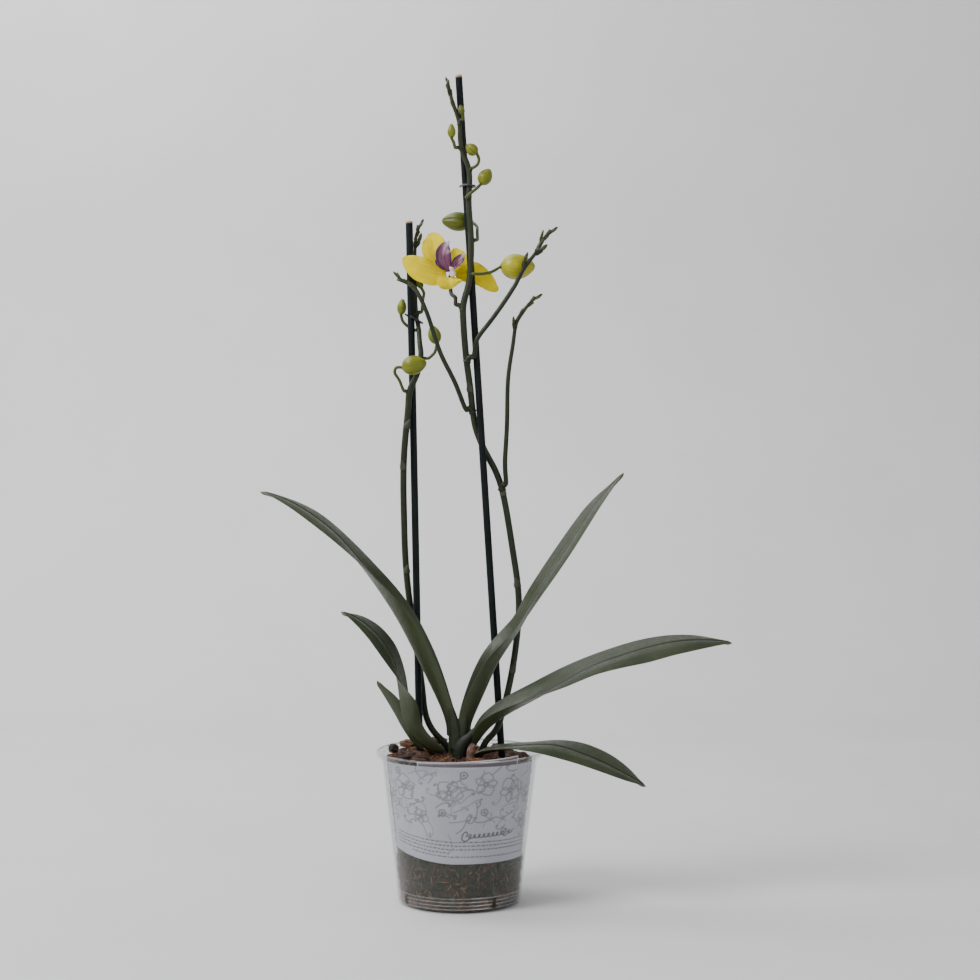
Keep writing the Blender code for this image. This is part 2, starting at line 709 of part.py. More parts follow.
SPIKE_RIGHT = (
    (13.5, 2.5, -8.0, SPIKE_RADIUS),
    (19.0, 3.4, 5.0, SPIKE_RADIUS),
    (27.5, 4.2, 15.5, SPIKE_RADIUS),
    (34.0, 6.0, 36.0, SPIKE_RADIUS),
    (39.8, 9.0, 64.0, SPIKE_RADIUS),
    (43.3, 12.5, 94.0, SPIKE_RADIUS),
    (43.2, 14.0, 115.0, SPIKE_RADIUS),
    (39.8, RIGHT_BEHIND, 141.0, SPIKE_RADIUS),
    (30.5, RIGHT_BEHIND, 193.0, SPIKE_RADIUS),
    (17.0, RIGHT_BEHIND, 222.0, SPIKE_RADIUS),
    (10.8, 14.5, 240.0, SPIKE_RADIUS),
    (7.6, 9.5, 266.0, SPIKE_RADIUS),
    (4.6, 6.0, 289.0, SPIKE_RADIUS),
    (2.7, RIGHT_FRONT, 314.0, SPIKE_RADIUS),
    (2.9, RIGHT_FRONT, 327.0, SPIKE_RADIUS),
    (7.2, RIGHT_FRONT, 345.0, 0.95 * SPIKE_RADIUS),
    (8.5, RIGHT_FRONT, 372.0, 0.92 * SPIKE_RADIUS),
    (6.8, RIGHT_FRONT, 400.0, 0.88 * SPIKE_RADIUS),
    (7.0, RIGHT_FRONT, 424.0, 0.84 * SPIKE_RADIUS),
    (1.0, RIGHT_FRONT, 442.0, 0.74 * SPIKE_RADIUS),
    (-0.4, RIGHT_FRONT, 460.0, 0.66 * SPIKE_RADIUS),
    (-5.6, RIGHT_FRONT, 476.0, 0.6 * SPIKE_RADIUS),
    (-8.0, RIGHT_FRONT, 486.0, 0.48 * SPIKE_RADIUS),
    (-9.6, RIGHT_FRONT, 491.4, 0.26 * SPIKE_RADIUS),
)

SPIKE_LEFT = (
    (-5.0, 12.0, -8.0, SPIKE_RADIUS),
    (-11.0, 15.5, 2.0, SPIKE_RADIUS),
    (-20.5, 19.5, 12.0, SPIKE_RADIUS),
    (-26.0, LEFT_BEHIND, 25.0, SPIKE_RADIUS),
    (-29.0, LEFT_BEHIND, 50.0, SPIKE_RADIUS),
    (-37.3, LEFT_BEHIND, 106.0, SPIKE_RADIUS),
    (-40.5, 20.5, 138.0, SPIKE_RADIUS),
    (-41.5, 17.0, 172.0, SPIKE_RADIUS),
    (-41.7, 13.0, 198.0, SPIKE_RADIUS),
    (-40.8, LEFT_FRONT, 220.0, SPIKE_RADIUS),
    (-38.2, LEFT_FRONT, 248.0, SPIKE_RADIUS),
    (-36.8, LEFT_FRONT, 263.0, SPIKE_RADIUS),
    (-31.2, LEFT_FRONT, 276.0, 0.9 * SPIKE_RADIUS),
    (-28.6, LEFT_FRONT, 289.0, 0.85 * SPIKE_RADIUS),
    (-29.6, 11.0, 299.0, 0.78 * SPIKE_RADIUS),
    (-30.6, 16.5, 310.0, 0.72 * SPIKE_RADIUS),
    (-32.6, LEFT_BEHIND - 1.0, 321.0, 0.68 * SPIKE_RADIUS),
    (-33.4, LEFT_BEHIND - 1.0, 345.0, 0.6 * SPIKE_RADIUS),
    (-33.2, LEFT_BEHIND - 1.0, 374.0, 0.5 * SPIKE_RADIUS),
    (-30.9, 20.0, 384.0, 0.42 * SPIKE_RADIUS),
    (-28.0, 19.6, 389.6, 0.34 * SPIKE_RADIUS),
)

BRANCHES = {
    "branch_upper_right": (
        287.5,
        (1.0, -0.5, 0.5),
        (
            (13.0, 1.0, 300.5, 1.75),
            (23.0, 0.0, 314.0, 1.7),
            (32.0, 0.0, 326.5, 1.7),
            (41.0, 0.0, 340.5, 1.65),
            (46.6, 0.0, 351.5, 1.6),
            (56.0, 0.0, 364.0, 1.35),
            (62.5, 0.0, 375.0, 1.2),
            (66.8, 0.0, 378.8, 1.3),
            (70.4, 0.0, 381.4, 0.8),
        ),
    ),
    "branch_left": (
        250.5,
        (-0.8, -0.6, 0.5),
        (
            (-3.5, 2.5, 269.0, 1.75),
            (-14.1, 0.0, 290.6, 1.7),
            (-22.9, 0.0, 317.0, 1.6),
            (-28.4, 1.0, 330.0, 1.6),
            (-33.0, 3.0, 338.0, 1.6),
            (-37.5, 4.0, 341.8, 1.7),
            (-42.5, 4.0, 344.0, 1.3),
            (-47.4, 4.0, 349.0, 0.9),
        ),
    ),
    "branch_lower_right": (
        193.5,
        (0.7, -1.0, 0.5),
        (
            (33.4, 9.8, 211.0, 1.8),
            (34.8, 8.6, 238.0, 1.7),
            (35.6, 8.0, 271.5, 1.6),
            (39.2, 8.0, 297.0, 1.5),
            (41.0, 8.0, 310.0, 1.45),
            (43.6, 8.0, 317.0, 1.6),
            (52.6, 8.0, 328.6, 1.2),
            (59.4, 8.0, 333.4, 0.9),
        ),
    ),
}


def build_spikes():
    right = Stem("spike_right", SPIKE_RIGHT)
    left = Stem("spike_left", SPIKE_LEFT)
    stems = {"right": right, "left": left}
    for name, (height, way, rows) in BRANCHES.items():
        start = right.shoot(height, way, rows[0][3])
        stems[name] = Stem(name, start + list(rows))
    for stem in stems.values():
        stem.build()
    return stems, [right.cutter(), left.cutter()]


# Buds: host stem, height of the joint, way out, stalk points, apex, width.
BUDS = {
    "bud_right_1": (
        "right", 404.0, (-0.4, -1, 0.2),
        ((8.0, -0.8, 407.0), (12.3, 0.4, 410.6), (15.4, 2.0, 414.0)),
        (22.4, 3.5, 425.6), 10.4,
    ),
    "bud_right_2": (
        "right", 425.5, (1, -0.6, 0.2),
        ((13.2, 1.4, 428.6), (14.2, 1.2, 432.4), (12.8, 1.0, 436.0)),
        (4.8, 0.6, 443.0), 8.6,
    ),
    "bud_right_3": (
        "right", 442.0, (-1, -0.2, 0.2),
        ((-4.2, 3.0, 444.6), (-5.9, 2.8, 448.0)),
        (-6.0, 2.8, 458.6), 6.0,
    ),
    "bud_right_4": ("right", 461.0, (0.8, -0.7, 0.3), ((2.2, 0.8, 464.6),), (0.4, 1.2, 472.0), 4.8),
    "bud_right_5": (
        "right", 373.5, (1, 0.3, 0.3),
        ((12.9, 8.0, 379.5), (12.6, 13.5, 384.8), (9.0, 18.8, 389.0)),
        (-13.9, 21.5, 390.2), 14.2,
    ),
    "bud_right_6": (
        "right", 348.5, (0.9, -0.8, 0.1),
        ((16.0, 3.6, 348.6), (23.2, 7.0, 350.4), (29.8, 11.5, 354.6)),
        (56.0, 13.8, 355.4), 18.8,
    ),
    "bud_left_1": (
        "left", 262.5, (-1, -0.5, 0.2),
        ((-44.2, 3.2, 270.5), (-47.4, 0.6, 275.6), (-46.2, -1.0, 279.4), (-42.4, -1.0, 279.6)),
        (-23.8, -1.6, 283.2), 14.2,
    ),
    "bud_left_2": (
        "left", 310.0, (-0.6, 1, 0.1),
        ((-38.6, 21.4, 311.6), (-42.6, 21.0, 315.6), (-43.8, 20.4, 320.0)),
        (-42.6, 19.8, 332.2), 6.8,
    ),
    "bud_left_3": (
        "left", 287.5, (1, 0.2, 0.0),
        ((-22.4, 9.6, 287.6), (-18.4, 9.8, 291.6), (-16.9, 9.8, 297.6)),
        (-20.6, 9.8, 311.6), 9.6,
    ),
    "bud_behind_petal": (
        "left", 322.0, (1, -0.1, 0.3),
        ((-27.6, 19.4, 331.0), (-26.8, 18.8, 336.0), (-28.4, 18.2, 339.4)),
        (-31.6, 17.8, 347.4), 5.2,
    ),
}

# Tiny buds closed against the stems: host, height, way out, length, width.
TIP_BUDS = {
    "tip_bud_right": ("right", 483.0, (-0.4, -1, 0), 5.5, 2.0),
    "tip_bud_left": ("left", 374.0, (1, 0, 0), 7.5, 2.9),
    "tip_bud_branch_1": ("branch_upper_right", 355.5, (-0.7, -0.3, 0.6), 7.5, 2.8),
    "tip_bud_branch_2": ("branch_upper_right", 366.5, (1, -0.3, 0), 6.5, 3.2),
    "tip_bud_branch_3": ("branch_upper_right", 373.5, (-1, -0.2, 0.4), 6.0, 2.2),
    "tip_bud_lower_branch": ("branch_lower_right", 312.0, (-0.6, -0.6, 0.5), 5.5, 2.2),
}


def build_buds(stems):
    for name, (host, height, way, route, apex, width) in BUDS.items():
        build_bud(name, stems[host], height, way, route, apex, width)
    for name, (host, height, way, length, width) in TIP_BUDS.items():
        build_tip_bud(name, stems[host], height, way, length, width)


def build_clips(stems):
    for name, side, depth, host, height, tilt in (
        ("clip_left", "left", LEFT_CANE_Y, "left", 317.0, -0.5),
        ("clip_right", "right", RIGHT_CANE_Y, "right", 413.5, -0.1),
    ):
        cane = (cane_x(side, height), depth, POT_HEIGHT + height, STAKE_RADIUS)
        point, radius, _ = stems[host].at(height)
        build_clip(name, cane, (*point, radius), tilt)


# ---------------------------------------------------------------- flower

# The open flower hangs upside down, so that its lip points up. It faces the front.
FLOWER_CENTRE = Vector((-7.0, 13.6, 350.0))
FACING = Vector((0.0, -0.99, 0.14)).normalized()

# Tepals: right, up and forward of the flower's centre, half width, near and far angles.
TEPALS = {
    "sepal_upper_left": (
        (-1.8, 3.0, -1.6, 2.4, 4, 4),
        (-7.0, 9.0, -1.8, 8.0, 6, 4),
        (-11.0, 16.5, -1.2, 9.8, 8, 6),
        (-12.8, 24.0, -2.2, 8.6, 8, 8),
        (-14.4, 29.0, -3.6, 5.8, 6, 8),
        (-15.8, 31.2, -4.6, 2.6, 4, 4),
    ),
    "sepal_upper_right": (
        (1.8, 3.0, -2.9, 2.4, 4, 4),
        (4.8, 7.5, -3.4, 6.8, 4, 4),
        (5.4, 12.5, -4.4, 7.2, 4, 0),
        (4.2, 17.0, -5.6, 5.4, 2, -4),
        (2.4, 20.4, -6.4, 2.2, 2, -4),
    ),
    "sepal_bottom": (
        (-0.8, -3.4, 1.8, 2.2, 10, 10),
        (-0.8, -5.3, 3.8, 7.2, 8, 14),
        (-0.8, -7.4, 5.0, 9.8, 4, 22),
        (-0.4, -9.8, 4.8, 8.4, 0, 24),
        (0.2, -11.8, 3.8, 3.6, 0, 10),
    ),
    "petal_left": (
        (-3.2, -1.2, 0.6, 2.4, 4, 4),
        (-8.5, -1.8, 1.6, 7.4, 6, 4),
        (-15.6, -0.6, 3.2, 9.2, 10, 4),
        (-23.5, 2.8, 5.0, 9.2, 12, 6),
        (-30.6, 7.4, 5.8, 6.0, 10, 6),
        (-34.6, 10.0, 5.6, 1.8, 4, 4),
    ),
    "petal_right": (
        (4.0, -1.0, 0.4, 2.4, 4, 4),
        (9.0, 0.4, -1.2, 6.8, 0, 4),
        (16.6, 1.4, -2.6, 8.2, 2, 6),
        (24.0, -2.6, -3.4, 7.2, 4, 8),
        (30.4, -8.6, -3.4, 4.8, 4, 6),
        (34.6, -12.0, -2.4, 1.9, 4, 4),
    ),
}


def flower_point(right, up, forward):
    """Place in the pot's frame of a point given in the flower's own directions."""
    sideways = Vector((1.0, 0.0, 0.0))
    upward = FACING.cross(sideways)
    return FLOWER_CENTRE + UP * POT_HEIGHT + sideways * right + upward * up + FACING * forward


def flower_rows(rows):
    return [(*flower_point(*row[:3]), *row[3:]) for row in rows]


def build_lip():
    """Purple lip: a hollowed middle lobe narrowing to a pale tip, with a side lobe on each side."""
    middle = (
        (-0.6, 1.2, 3.6, 1.6),
        (-2.2, 3.0, 6.0, 3.4),
        (-4.2, 6.4, 8.4, 5.2),
        (-5.2, 10.8, 9.6, 5.8),
        (-4.8, 15.0, 9.8, 5.3),
        (-3.8, 18.4, 9.4, 3.7),
        (-2.2, 21.0, 8.6, 1.8),
        (-0.7, 23.2, 7.8, 1.0),
    )
    lip = tube("lip", spline(flower_rows(middle), 2), LIP_PURPLE, flat=0.55, wide=(1, 0, 0), roughness=0.4)
    right = ((-1.4, 2.6, 5.2, 1.4), (2.6, 5.0, 6.2, 2.6), (6.2, 8.6, 6.8, 3.4), (9.2, 12.2, 7.0, 2.0))
    left = ((-1.4, 2.6, 5.0, 1.4), (-5.4, 4.0, 4.6, 2.4), (-8.4, 7.2, 4.4, 3.0), (-9.8, 10.4, 4.4, 1.8))
    for name, rows in (("lip_right_lobe_cutter", right), ("lip_left_lobe_cutter", left)):
        path = spline(flower_rows(rows), 2)
        lobe = tube(name, path, LIP_PURPLE, flat=0.26, wide=tuple(FACING), cutter=True)
        boolean(lip, lobe, "UNION")


def build_flower(stems):
    for name, rows in TEPALS.items():
        blade(name, flower_rows(rows), PETAL_YELLOW, PETAL_THICK, facing=FACING)
    build_lip()
    column = ((1.2, -0.4, 0.8, 1.9), (1.6, -0.8, 3.2, 2.2), (1.8, -1.2, 5.8, 2.0))
    tube("column", flower_rows(column), COLUMN_PALE, roughness=0.4)
    host = stems["right"]
    back = flower_point(0.0, 0.0, -4.4)
    route = [(-3.2, 7.0, 331.5), (-6.2, 14.2, 335.0), (-7.2, 18.4, 341.5)]
    route.append((back.x, back.y, back.z - POT_HEIGHT))
    rows = host.shoot(325.5, (-1, 0.1, 0.3), 1.5) + [(*point, 1.5) for point in route]
    tube("flower_stalk", spline(lifted(rows), 2), SPIKE_GREEN)


def main():
    clear_scene()
    build_pot()
    build_sleeve()
    build_care_card()
    cutters = build_leaves()
    cutters.append(build_crown())
    cutters.append(build_stump())
    cutters += build_roots()
    cutters += build_chips()
    stems, spike_cutters = build_spikes()
    cutters += spike_cutters
    cutters.append(build_cane("cane_left", "left", LEFT_CANE_Y, 389.0))
    cutters.append(build_cane("cane_right", "right", RIGHT_CANE_Y, 496.0))
    build_mix(cutters)
    build_buds(stems)
    build_clips(stems)
    build_flower(stems)


main()
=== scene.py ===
"""Moth orchid in a clear nursery pot: the looks of every piece, built round its solid model.

The plant's pieces are grown over the solid model's own rings, so each leaf, stem, bud and petal keeps
its place and gains a finer surface. All lengths are metres, and the pot stands on Z = 0 facing -Y.
"""

import math
import random

import bmesh
import bpy
import numpy as np
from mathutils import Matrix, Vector, noise


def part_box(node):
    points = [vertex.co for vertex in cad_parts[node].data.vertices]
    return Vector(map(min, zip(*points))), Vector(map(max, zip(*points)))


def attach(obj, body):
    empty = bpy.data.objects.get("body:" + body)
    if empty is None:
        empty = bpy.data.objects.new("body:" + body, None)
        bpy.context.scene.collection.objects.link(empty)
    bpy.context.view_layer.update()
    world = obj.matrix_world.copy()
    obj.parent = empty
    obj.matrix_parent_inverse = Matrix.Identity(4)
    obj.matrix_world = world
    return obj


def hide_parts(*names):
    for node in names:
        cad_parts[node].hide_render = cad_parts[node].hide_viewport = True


bl_info = {
    "name": "Potted moth orchid",
    "version": (1, 0, 0),
    "blender": (4, 5, 0),
    "location": "3D View > Sidebar > Orchid",
    "description": "Builds a yellow moth orchid in a clear pot over its solid model",
    "category": "Object",
}

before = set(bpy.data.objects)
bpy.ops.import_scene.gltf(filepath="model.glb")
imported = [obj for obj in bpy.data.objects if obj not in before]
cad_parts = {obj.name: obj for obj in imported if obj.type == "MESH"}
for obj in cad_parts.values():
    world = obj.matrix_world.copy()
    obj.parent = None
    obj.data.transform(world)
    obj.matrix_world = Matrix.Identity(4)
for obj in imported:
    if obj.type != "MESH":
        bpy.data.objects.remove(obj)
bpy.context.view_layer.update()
MM = 0.001
TURN = 2 * math.pi


POT_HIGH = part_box("clear_pot")[1]
POT_HEIGHT = POT_HIGH.z
RIM_RADIUS = POT_HIGH.x
CROWN_LOW, CROWN_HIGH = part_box("crown")
CROWN_MIDDLE = (CROWN_LOW + CROWN_HIGH) / 2
COLUMN_MIDDLE = sum(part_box("column"), Vector()) / 2


# ---------------------------------------------------------------- settings


def colour(name, description, value):
    return bpy.props.FloatVectorProperty(
        name=name, description=description, default=value, size=3, min=0.0, max=1.0, subtype="COLOR"
    )


def length(name, description, value):
    return bpy.props.FloatProperty(name=name, description=description, default=value, min=0.0, unit="LENGTH")


class OrchidPotSettings(bpy.types.PropertyGroup):
    plastic: colour("Plastic tint", "Colour the clear wall gives what is behind it", (0.93, 0.945, 0.95))
    paper: colour("Sleeve paper", "Ground colour of the printed sleeve", (0.48, 0.465, 0.51))
    ink: colour("Sleeve ink", "Colour of the fine line drawing", (0.055, 0.05, 0.06))
    card: colour("Card face", "Dark face of the grower's card", (0.10, 0.07, 0.09))
    bark: colour("Bark", "Fresh broken face of the bark", (0.17, 0.056, 0.018))
    # Damp bark's own dark tone; darkened further, the same colour is the painted shade in the gaps between
    # bark pieces.
    bark_dark_and_gap_shade: colour("Damp bark", "Damp bark and the gaps between pieces", (0.012, 0.007, 0.0045))
    moss: colour("Moss", "Green film against the lower wall", (0.022, 0.030, 0.012))
    strand_length: length("Strand length", "Length of a shredded strand of bark on top", 11 * MM)
    strand_density: bpy.props.FloatProperty(
        name="Strand density", description="Strands to a square metre of the bark's top", default=46000, min=0
    )
    fibre_density: bpy.props.FloatProperty(
        name="Fibre density", description="Fibres to a square metre of the lower wall", default=150000, min=0
    )


class OrchidPlantSettings(bpy.types.PropertyGroup):
    leaf: colour("Leaf", "Upper face of a grown leaf", (0.022, 0.030, 0.012))
    leaf_base: colour("Leaf base", "Leaf near the crown", (0.013, 0.020, 0.004))
    stem: colour("Stem", "Flower spikes and their branches", (0.009, 0.016, 0.0035))
    bud: colour("Bud", "Closed flower bud", (0.12, 0.145, 0.004))
    bud_light: colour("Ripe bud", "Bud that is about to open", (0.40, 0.37, 0.010))
    petal: colour("Petal", "Open flower", (0.84, 0.68, 0.002))
    lip: colour("Lip", "Middle of the flower's lip", (0.12, 0.018, 0.060))
    cane: colour("Cane", "Dyed support cane", (0.0015, 0.003, 0.0035))
    clip: colour("Clip", "Plastic clip round a cane", (0.020, 0.013, 0.022))


class OrchidStageSettings(bpy.types.PropertyGroup):
    floor: colour("Floor", "Pale floor and backdrop", (0.60, 0.60, 0.605))
    lens: bpy.props.FloatProperty(
        name="Lens", description="Focal length on a 36 mm sensor, in millimetres", default=64.4, min=1.0
    )
    distance: length("Camera distance", "From the camera to the middle of the pot", 1.283)
    height: length("Camera height", "Height of the level camera above the floor", 0.300)


# ---------------------------------------------------------------- shader helpers


class Shader:
    """Adds nodes to one shader tree; an input is a value, or a socket to link."""

    def __init__(self, tree):
        self.tree = tree

    def add(self, kind, values=None, **settings):
        node = self.tree.nodes.new(kind)
        for key, value in settings.items():
            setattr(node, key, value)
        for key, value in (values or {}).items():
            self.feed(node.inputs[key], value)
        return node

    def feed(self, socket, value):
        if isinstance(value, bpy.types.NodeSocket):
            self.tree.links.new(value, socket)
        else:
            socket.default_value = value

    def sum(self, operation, first, second=0.0, third=0.0):
        values = {0: first, 1: second, 2: third}
        return self.add("ShaderNodeMath", values, operation=operation).outputs[0]

    def ramp(self, value, low, high, at_low=0.0, at_high=1.0):
        """value mapped smoothly from low..high to at_low..at_high."""
        values = {"Value": value, "From Min": low, "From Max": high, "To Min": at_low, "To Max": at_high}
        return self.add("ShaderNodeMapRange", values, interpolation_type="SMOOTHSTEP").outputs[0]

    def blend(self, share, first, second, how="MIX"):
        values = {0: share, 6: opaque(first), 7: opaque(second)}
        return self.add("ShaderNodeMix", values, data_type="RGBA", blend_type=how).outputs[2]

    def wash(self, ground, mask, strength, over):
        """ground with the colour over laid on it where the mask is, as strong as given."""
        return self.blend(self.sum("MULTIPLY", mask, strength), ground, over)

    def noise(self, vector, scale, detail=3.0, roughness=0.55):
        values = {"Vector": vector, "Scale": scale, "Detail": detail, "Roughness": roughness}
        return self.add("ShaderNodeTexNoise", values).outputs["Fac"]

    def stretch(self, vector, scale):
        return self.add("ShaderNodeMapping", {"Vector": vector, "Scale": scale}).outputs[0]

    def place(self):
        return self.add("ShaderNodeTexCoord").outputs["Object"]

    def attribute(self, name):
        """The x, y and z of a vector attribute, and the vector itself."""
        found = self.add("ShaderNodeAttribute", attribute_name=name)
        split = self.add("ShaderNodeSeparateXYZ", {0: found.outputs["Vector"]})
        return split.outputs[0], split.outputs[1], split.outputs[2], found.outputs["Vector"]

    def bump(self, height, distance, strength=1.0):
        values = {"Height": height, "Distance": distance, "Strength": strength}
        return self.add("ShaderNodeBump", values).outputs[0]


def opaque(value):
    return value if isinstance(value, bpy.types.NodeSocket) or len(value) == 4 else (*value, 1.0)


def tint(value, factor):
    """A colour made lighter or darker."""
    return tuple(min(1.0, part * factor) for part in value)


def material(name):
    """(material, its shader helper, its Principled node)."""
    made = bpy.data.materials.new(name)
    made.use_nodes = True
    return made, Shader(made.node_tree), made.node_tree.nodes["Principled BSDF"]


def coat(shader, surface, ground, fine, rough, height, depth, strength):
    """Gives a finish its colour, a roughness between two values and a relief as deep as given."""
    shader.feed(surface.inputs["Base Color"], ground)
    shader.feed(surface.inputs["Roughness"], shader.ramp(fine, 0.3, 0.7, *rough))
    shader.feed(surface.inputs["Normal"], shader.bump(height, depth, strength))


def group(name, inputs, outputs, fill):
    """Shader node group with named sockets, built once; fill wires it up."""
    tree = bpy.data.node_groups.new(name, "ShaderNodeTree")
    for label, kind, value in inputs:
        socket = tree.interface.new_socket(name=label, in_out="INPUT", socket_type=kind)
        if value is not None:
            socket.default_value = value
    for label, kind in outputs:
        tree.interface.new_socket(name=label, in_out="OUTPUT", socket_type=kind)
    given = tree.nodes.new("NodeGroupInput")
    result = tree.nodes.new("NodeGroupOutput")
    shader = Shader(tree)
    for label, socket in fill(shader, given.outputs).items():
        shader.feed(result.inputs[label], socket)
    return tree


def use(shader, tree, values):
    """Outputs of a node group placed in this material."""
    node = shader.add("ShaderNodeGroup", node_tree=tree)
    for key, value in values.items():
        shader.feed(node.inputs[key], value)
    return node.outputs


def fill_mottle(shader, given):
    broad = shader.noise(given["Vector"], given["Scale"], 3.0)
    fine_scale = shader.sum("MULTIPLY", given["Scale"], 7.0)
    fine = shader.noise(given["Vector"], fine_scale, 4.0, 0.65)
    spots = shader.ramp(fine, 0.66, 0.74)
    return {"Broad": shader.ramp(broad, 0.32, 0.68), "Fine": fine, "Spots": spots}


def fill_grain(shader, given):
    values = {0: given["Vector"], 1: given["Scale"]}
    stretched = shader.add("ShaderNodeVectorMath", values, operation="MULTIPLY")
    grain = shader.noise(stretched.outputs[0], 1.0, 4.0, 0.6)
    return {"Grain": grain, "Lines": shader.ramp(grain, 0.46, 0.60)}


MOTTLE = group(
    "Living mottle",
    [("Vector", "NodeSocketVector", None), ("Scale", "NodeSocketFloat", 60.0)],
    [("Broad", "NodeSocketFloat"), ("Fine", "NodeSocketFloat"), ("Spots", "NodeSocketFloat")],
    fill_mottle,
)
GRAIN = group(
    "Lengthwise grain",
    [("Vector", "NodeSocketVector", None), ("Scale", "NodeSocketVector", (1.0, 1.0, 1.0))],
    [("Grain", "NodeSocketFloat"), ("Lines", "NodeSocketFloat")],
    fill_grain,
)


# ---------------------------------------------------------------- mesh helpers


def new_object(name, data):
    """Object of a mesh, light or camera, linked to the scene."""
    made = bpy.data.objects.new(name, data)
    bpy.context.scene.collection.objects.link(made)
    return made


def add_object(name, points, faces, finish):
    """Smooth-shaded piece from its points and faces."""
    mesh = bpy.data.meshes.new(name)
    mesh.from_pydata([tuple(point) for point in points], [], faces)
    mesh.materials.append(finish)
    for face in mesh.polygons:
        face.use_smooth = True
    return new_object(name, mesh)


def outward(made):
    """Turns a closed mesh's faces outwards."""
    shape = bmesh.new()
    shape.from_mesh(made.data)
    if shape.calc_volume(signed=True) < 0:
        bmesh.ops.reverse_faces(shape, faces=shape.faces)
    shape.to_mesh(made.data)
    shape.free()
    return made


def give(made, name, values):
    """Stores one vector for each point of a mesh."""
    store = made.data.attributes.new(name, "FLOAT_VECTOR", "POINT")
    store.data.foreach_set("vector", np.asarray(values, np.float32).ravel())


def belongs(made, slot, *nodes):
    """A finished piece stands for these nodes and moves with the plant; slot is not used."""
    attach(made, "root")
    if nodes:
        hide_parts(*nodes)
    return made


def welded(node):
    """A node's mesh with its loose triangles joined."""
    shape = bmesh.new()
    shape.from_mesh(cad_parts[node].data)
    bmesh.ops.remove_doubles(shape, verts=shape.verts, dist=2e-6)
    shape.verts.ensure_lookup_table()
    return shape


def layers_from(pole):
    """Points of a grown piece in layers by their steps from one end."""
    seen = {pole}
    layers = [[pole]]
    while layers[-1]:
        nearby = []
        for vert in layers[-1]:
            for edge in vert.link_edges:
                other = edge.other_vert(vert)
                if other not in seen:
                    seen.add(other)
                    nearby.append(other)
        layers.append(nearby)
    return layers[:-1]


def walk(layer):
    """Points of one ring in order round it."""
    members = set(layer)
    ring = [layer[0]]
    while len(ring) < len(layer):
        for edge in ring[-1].link_edges:
            other = edge.other_vert(ring[-1])
            if other in members and other not in ring:
                ring.append(other)
                break
    return ring


def rings_of(node, sides):
    """A grown piece as an array of rings, lined up point by point, with a pole at each end."""
    shape = welded(node)
    for pole in shape.verts:
        if len(pole.link_edges) != sides:
            continue
        layers = layers_from(pole)
        sizes = [len(layer) for layer in layers]
        if sizes[-1] == 1 and all(size == sides for size in sizes[1:-1]):
            break
    else:
        raise RuntimeError(f"{node} isn't made of rings of {sides} points")
    rings = [np.array([pole.co] * sides)]
    for layer in layers[1:-1]:
        ring = np.array([vert.co for vert in walk(layer)])
        if len(rings) > 1:
            options = []
            for turned in (ring, ring[::-1]):
                options += [np.roll(turned, shift, axis=0) for shift in range(sides)]
            ring = min(options, key=lambda option: ((option - rings[-1]) ** 2).sum())
        rings.append(ring)
    rings.append(np.array([layers[-1][0].co] * sides))
    shape.free()
    return np.array(rings)


def through(rows, steps, closed=False):
    """Smooth rows that pass through every given row."""
    count = len(rows)
    here = np.arange(count if closed else count - 1)

    def at(shift):
        index = here + shift
        return rows[index % count] if closed else rows[np.clip(index, 0, count - 1)]

    before, first, second, after = at(-1), at(0), at(1), at(2)
    t = (np.arange(steps) / steps).reshape(1, steps, *([1] * (rows.ndim - 1)))
    before, first, second, after = (part[:, None] for part in (before, first, second, after))
    smooth = (
        2 * first
        + (second - before) * t
        + (2 * before - 5 * first + 4 * second - after) * t**2
        + (3 * first - before - 3 * second + after) * t**3
    ) / 2
    smooth = smooth.reshape(-1, *rows.shape[1:])
    return smooth if closed else np.concatenate([smooth, rows[-1:]])


def finer(rings, around, between):
    """Rings with more points round them and more rings between them; the poles stay single points."""
    smooth = through(rings, between)
    return np.swapaxes(through(np.swapaxes(smooth, 0, 1), around, closed=True), 0, 1)


def skin(name, rings, finish):
    """Closed skin over rings whose first and last are single points. Returns the piece."""
    count, size = rings.shape[:2]
    points = [rings[0][0]] + [point for ring in rings[1:-1] for point in ring] + [rings[-1][0]]
    last = len(points) - 1
    faces = []
    for k in range(size):
        n = (k + 1) % size
        faces.append((0, 1 + n, 1 + k))
        base = last - size
        faces.append((last, base + k, base + n))
        for level in range(count - 3):
            a = 1 + level * size
            faces.append((a + k, a + n, a + size + n, a + size + k))
    return outward(add_object(name, points, faces, finish))


def together(*values):
    """Values that vary along or round a piece, as one vector for each point of each ring."""
    return np.stack(np.broadcast_arrays(*values), axis=-1)


def per_point(values):
    """Values given ring by ring, as skin orders its points."""
    return np.concatenate([values[0][:1], values[1:-1].reshape(-1, values.shape[-1]), values[-1][:1]])


def skin_with(name, rings, finish, **values):
    """Skin that keeps the vectors its finish reads, each given ring by ring."""
    made = skin(name, rings, finish)
    for key, vectors in values.items():
        give(made, key, per_point(vectors))
    return made


def with_poles(rings):
    """Rings with a single point before the first and after the last."""
    ends = [np.broadcast_to(ring.mean(axis=0), ring.shape)[None] for ring in (rings[0], rings[-1])]
    return np.concatenate([ends[0], rings, ends[1]])


def lengths_along(rings):
    """Distance of each ring along the piece."""
    middles = rings.mean(axis=1)
    steps = np.linalg.norm(np.diff(middles, axis=0), axis=1)
    return np.concatenate([[0.0], np.cumsum(steps)])


# ---------------------------------------------------------------- plant finishes


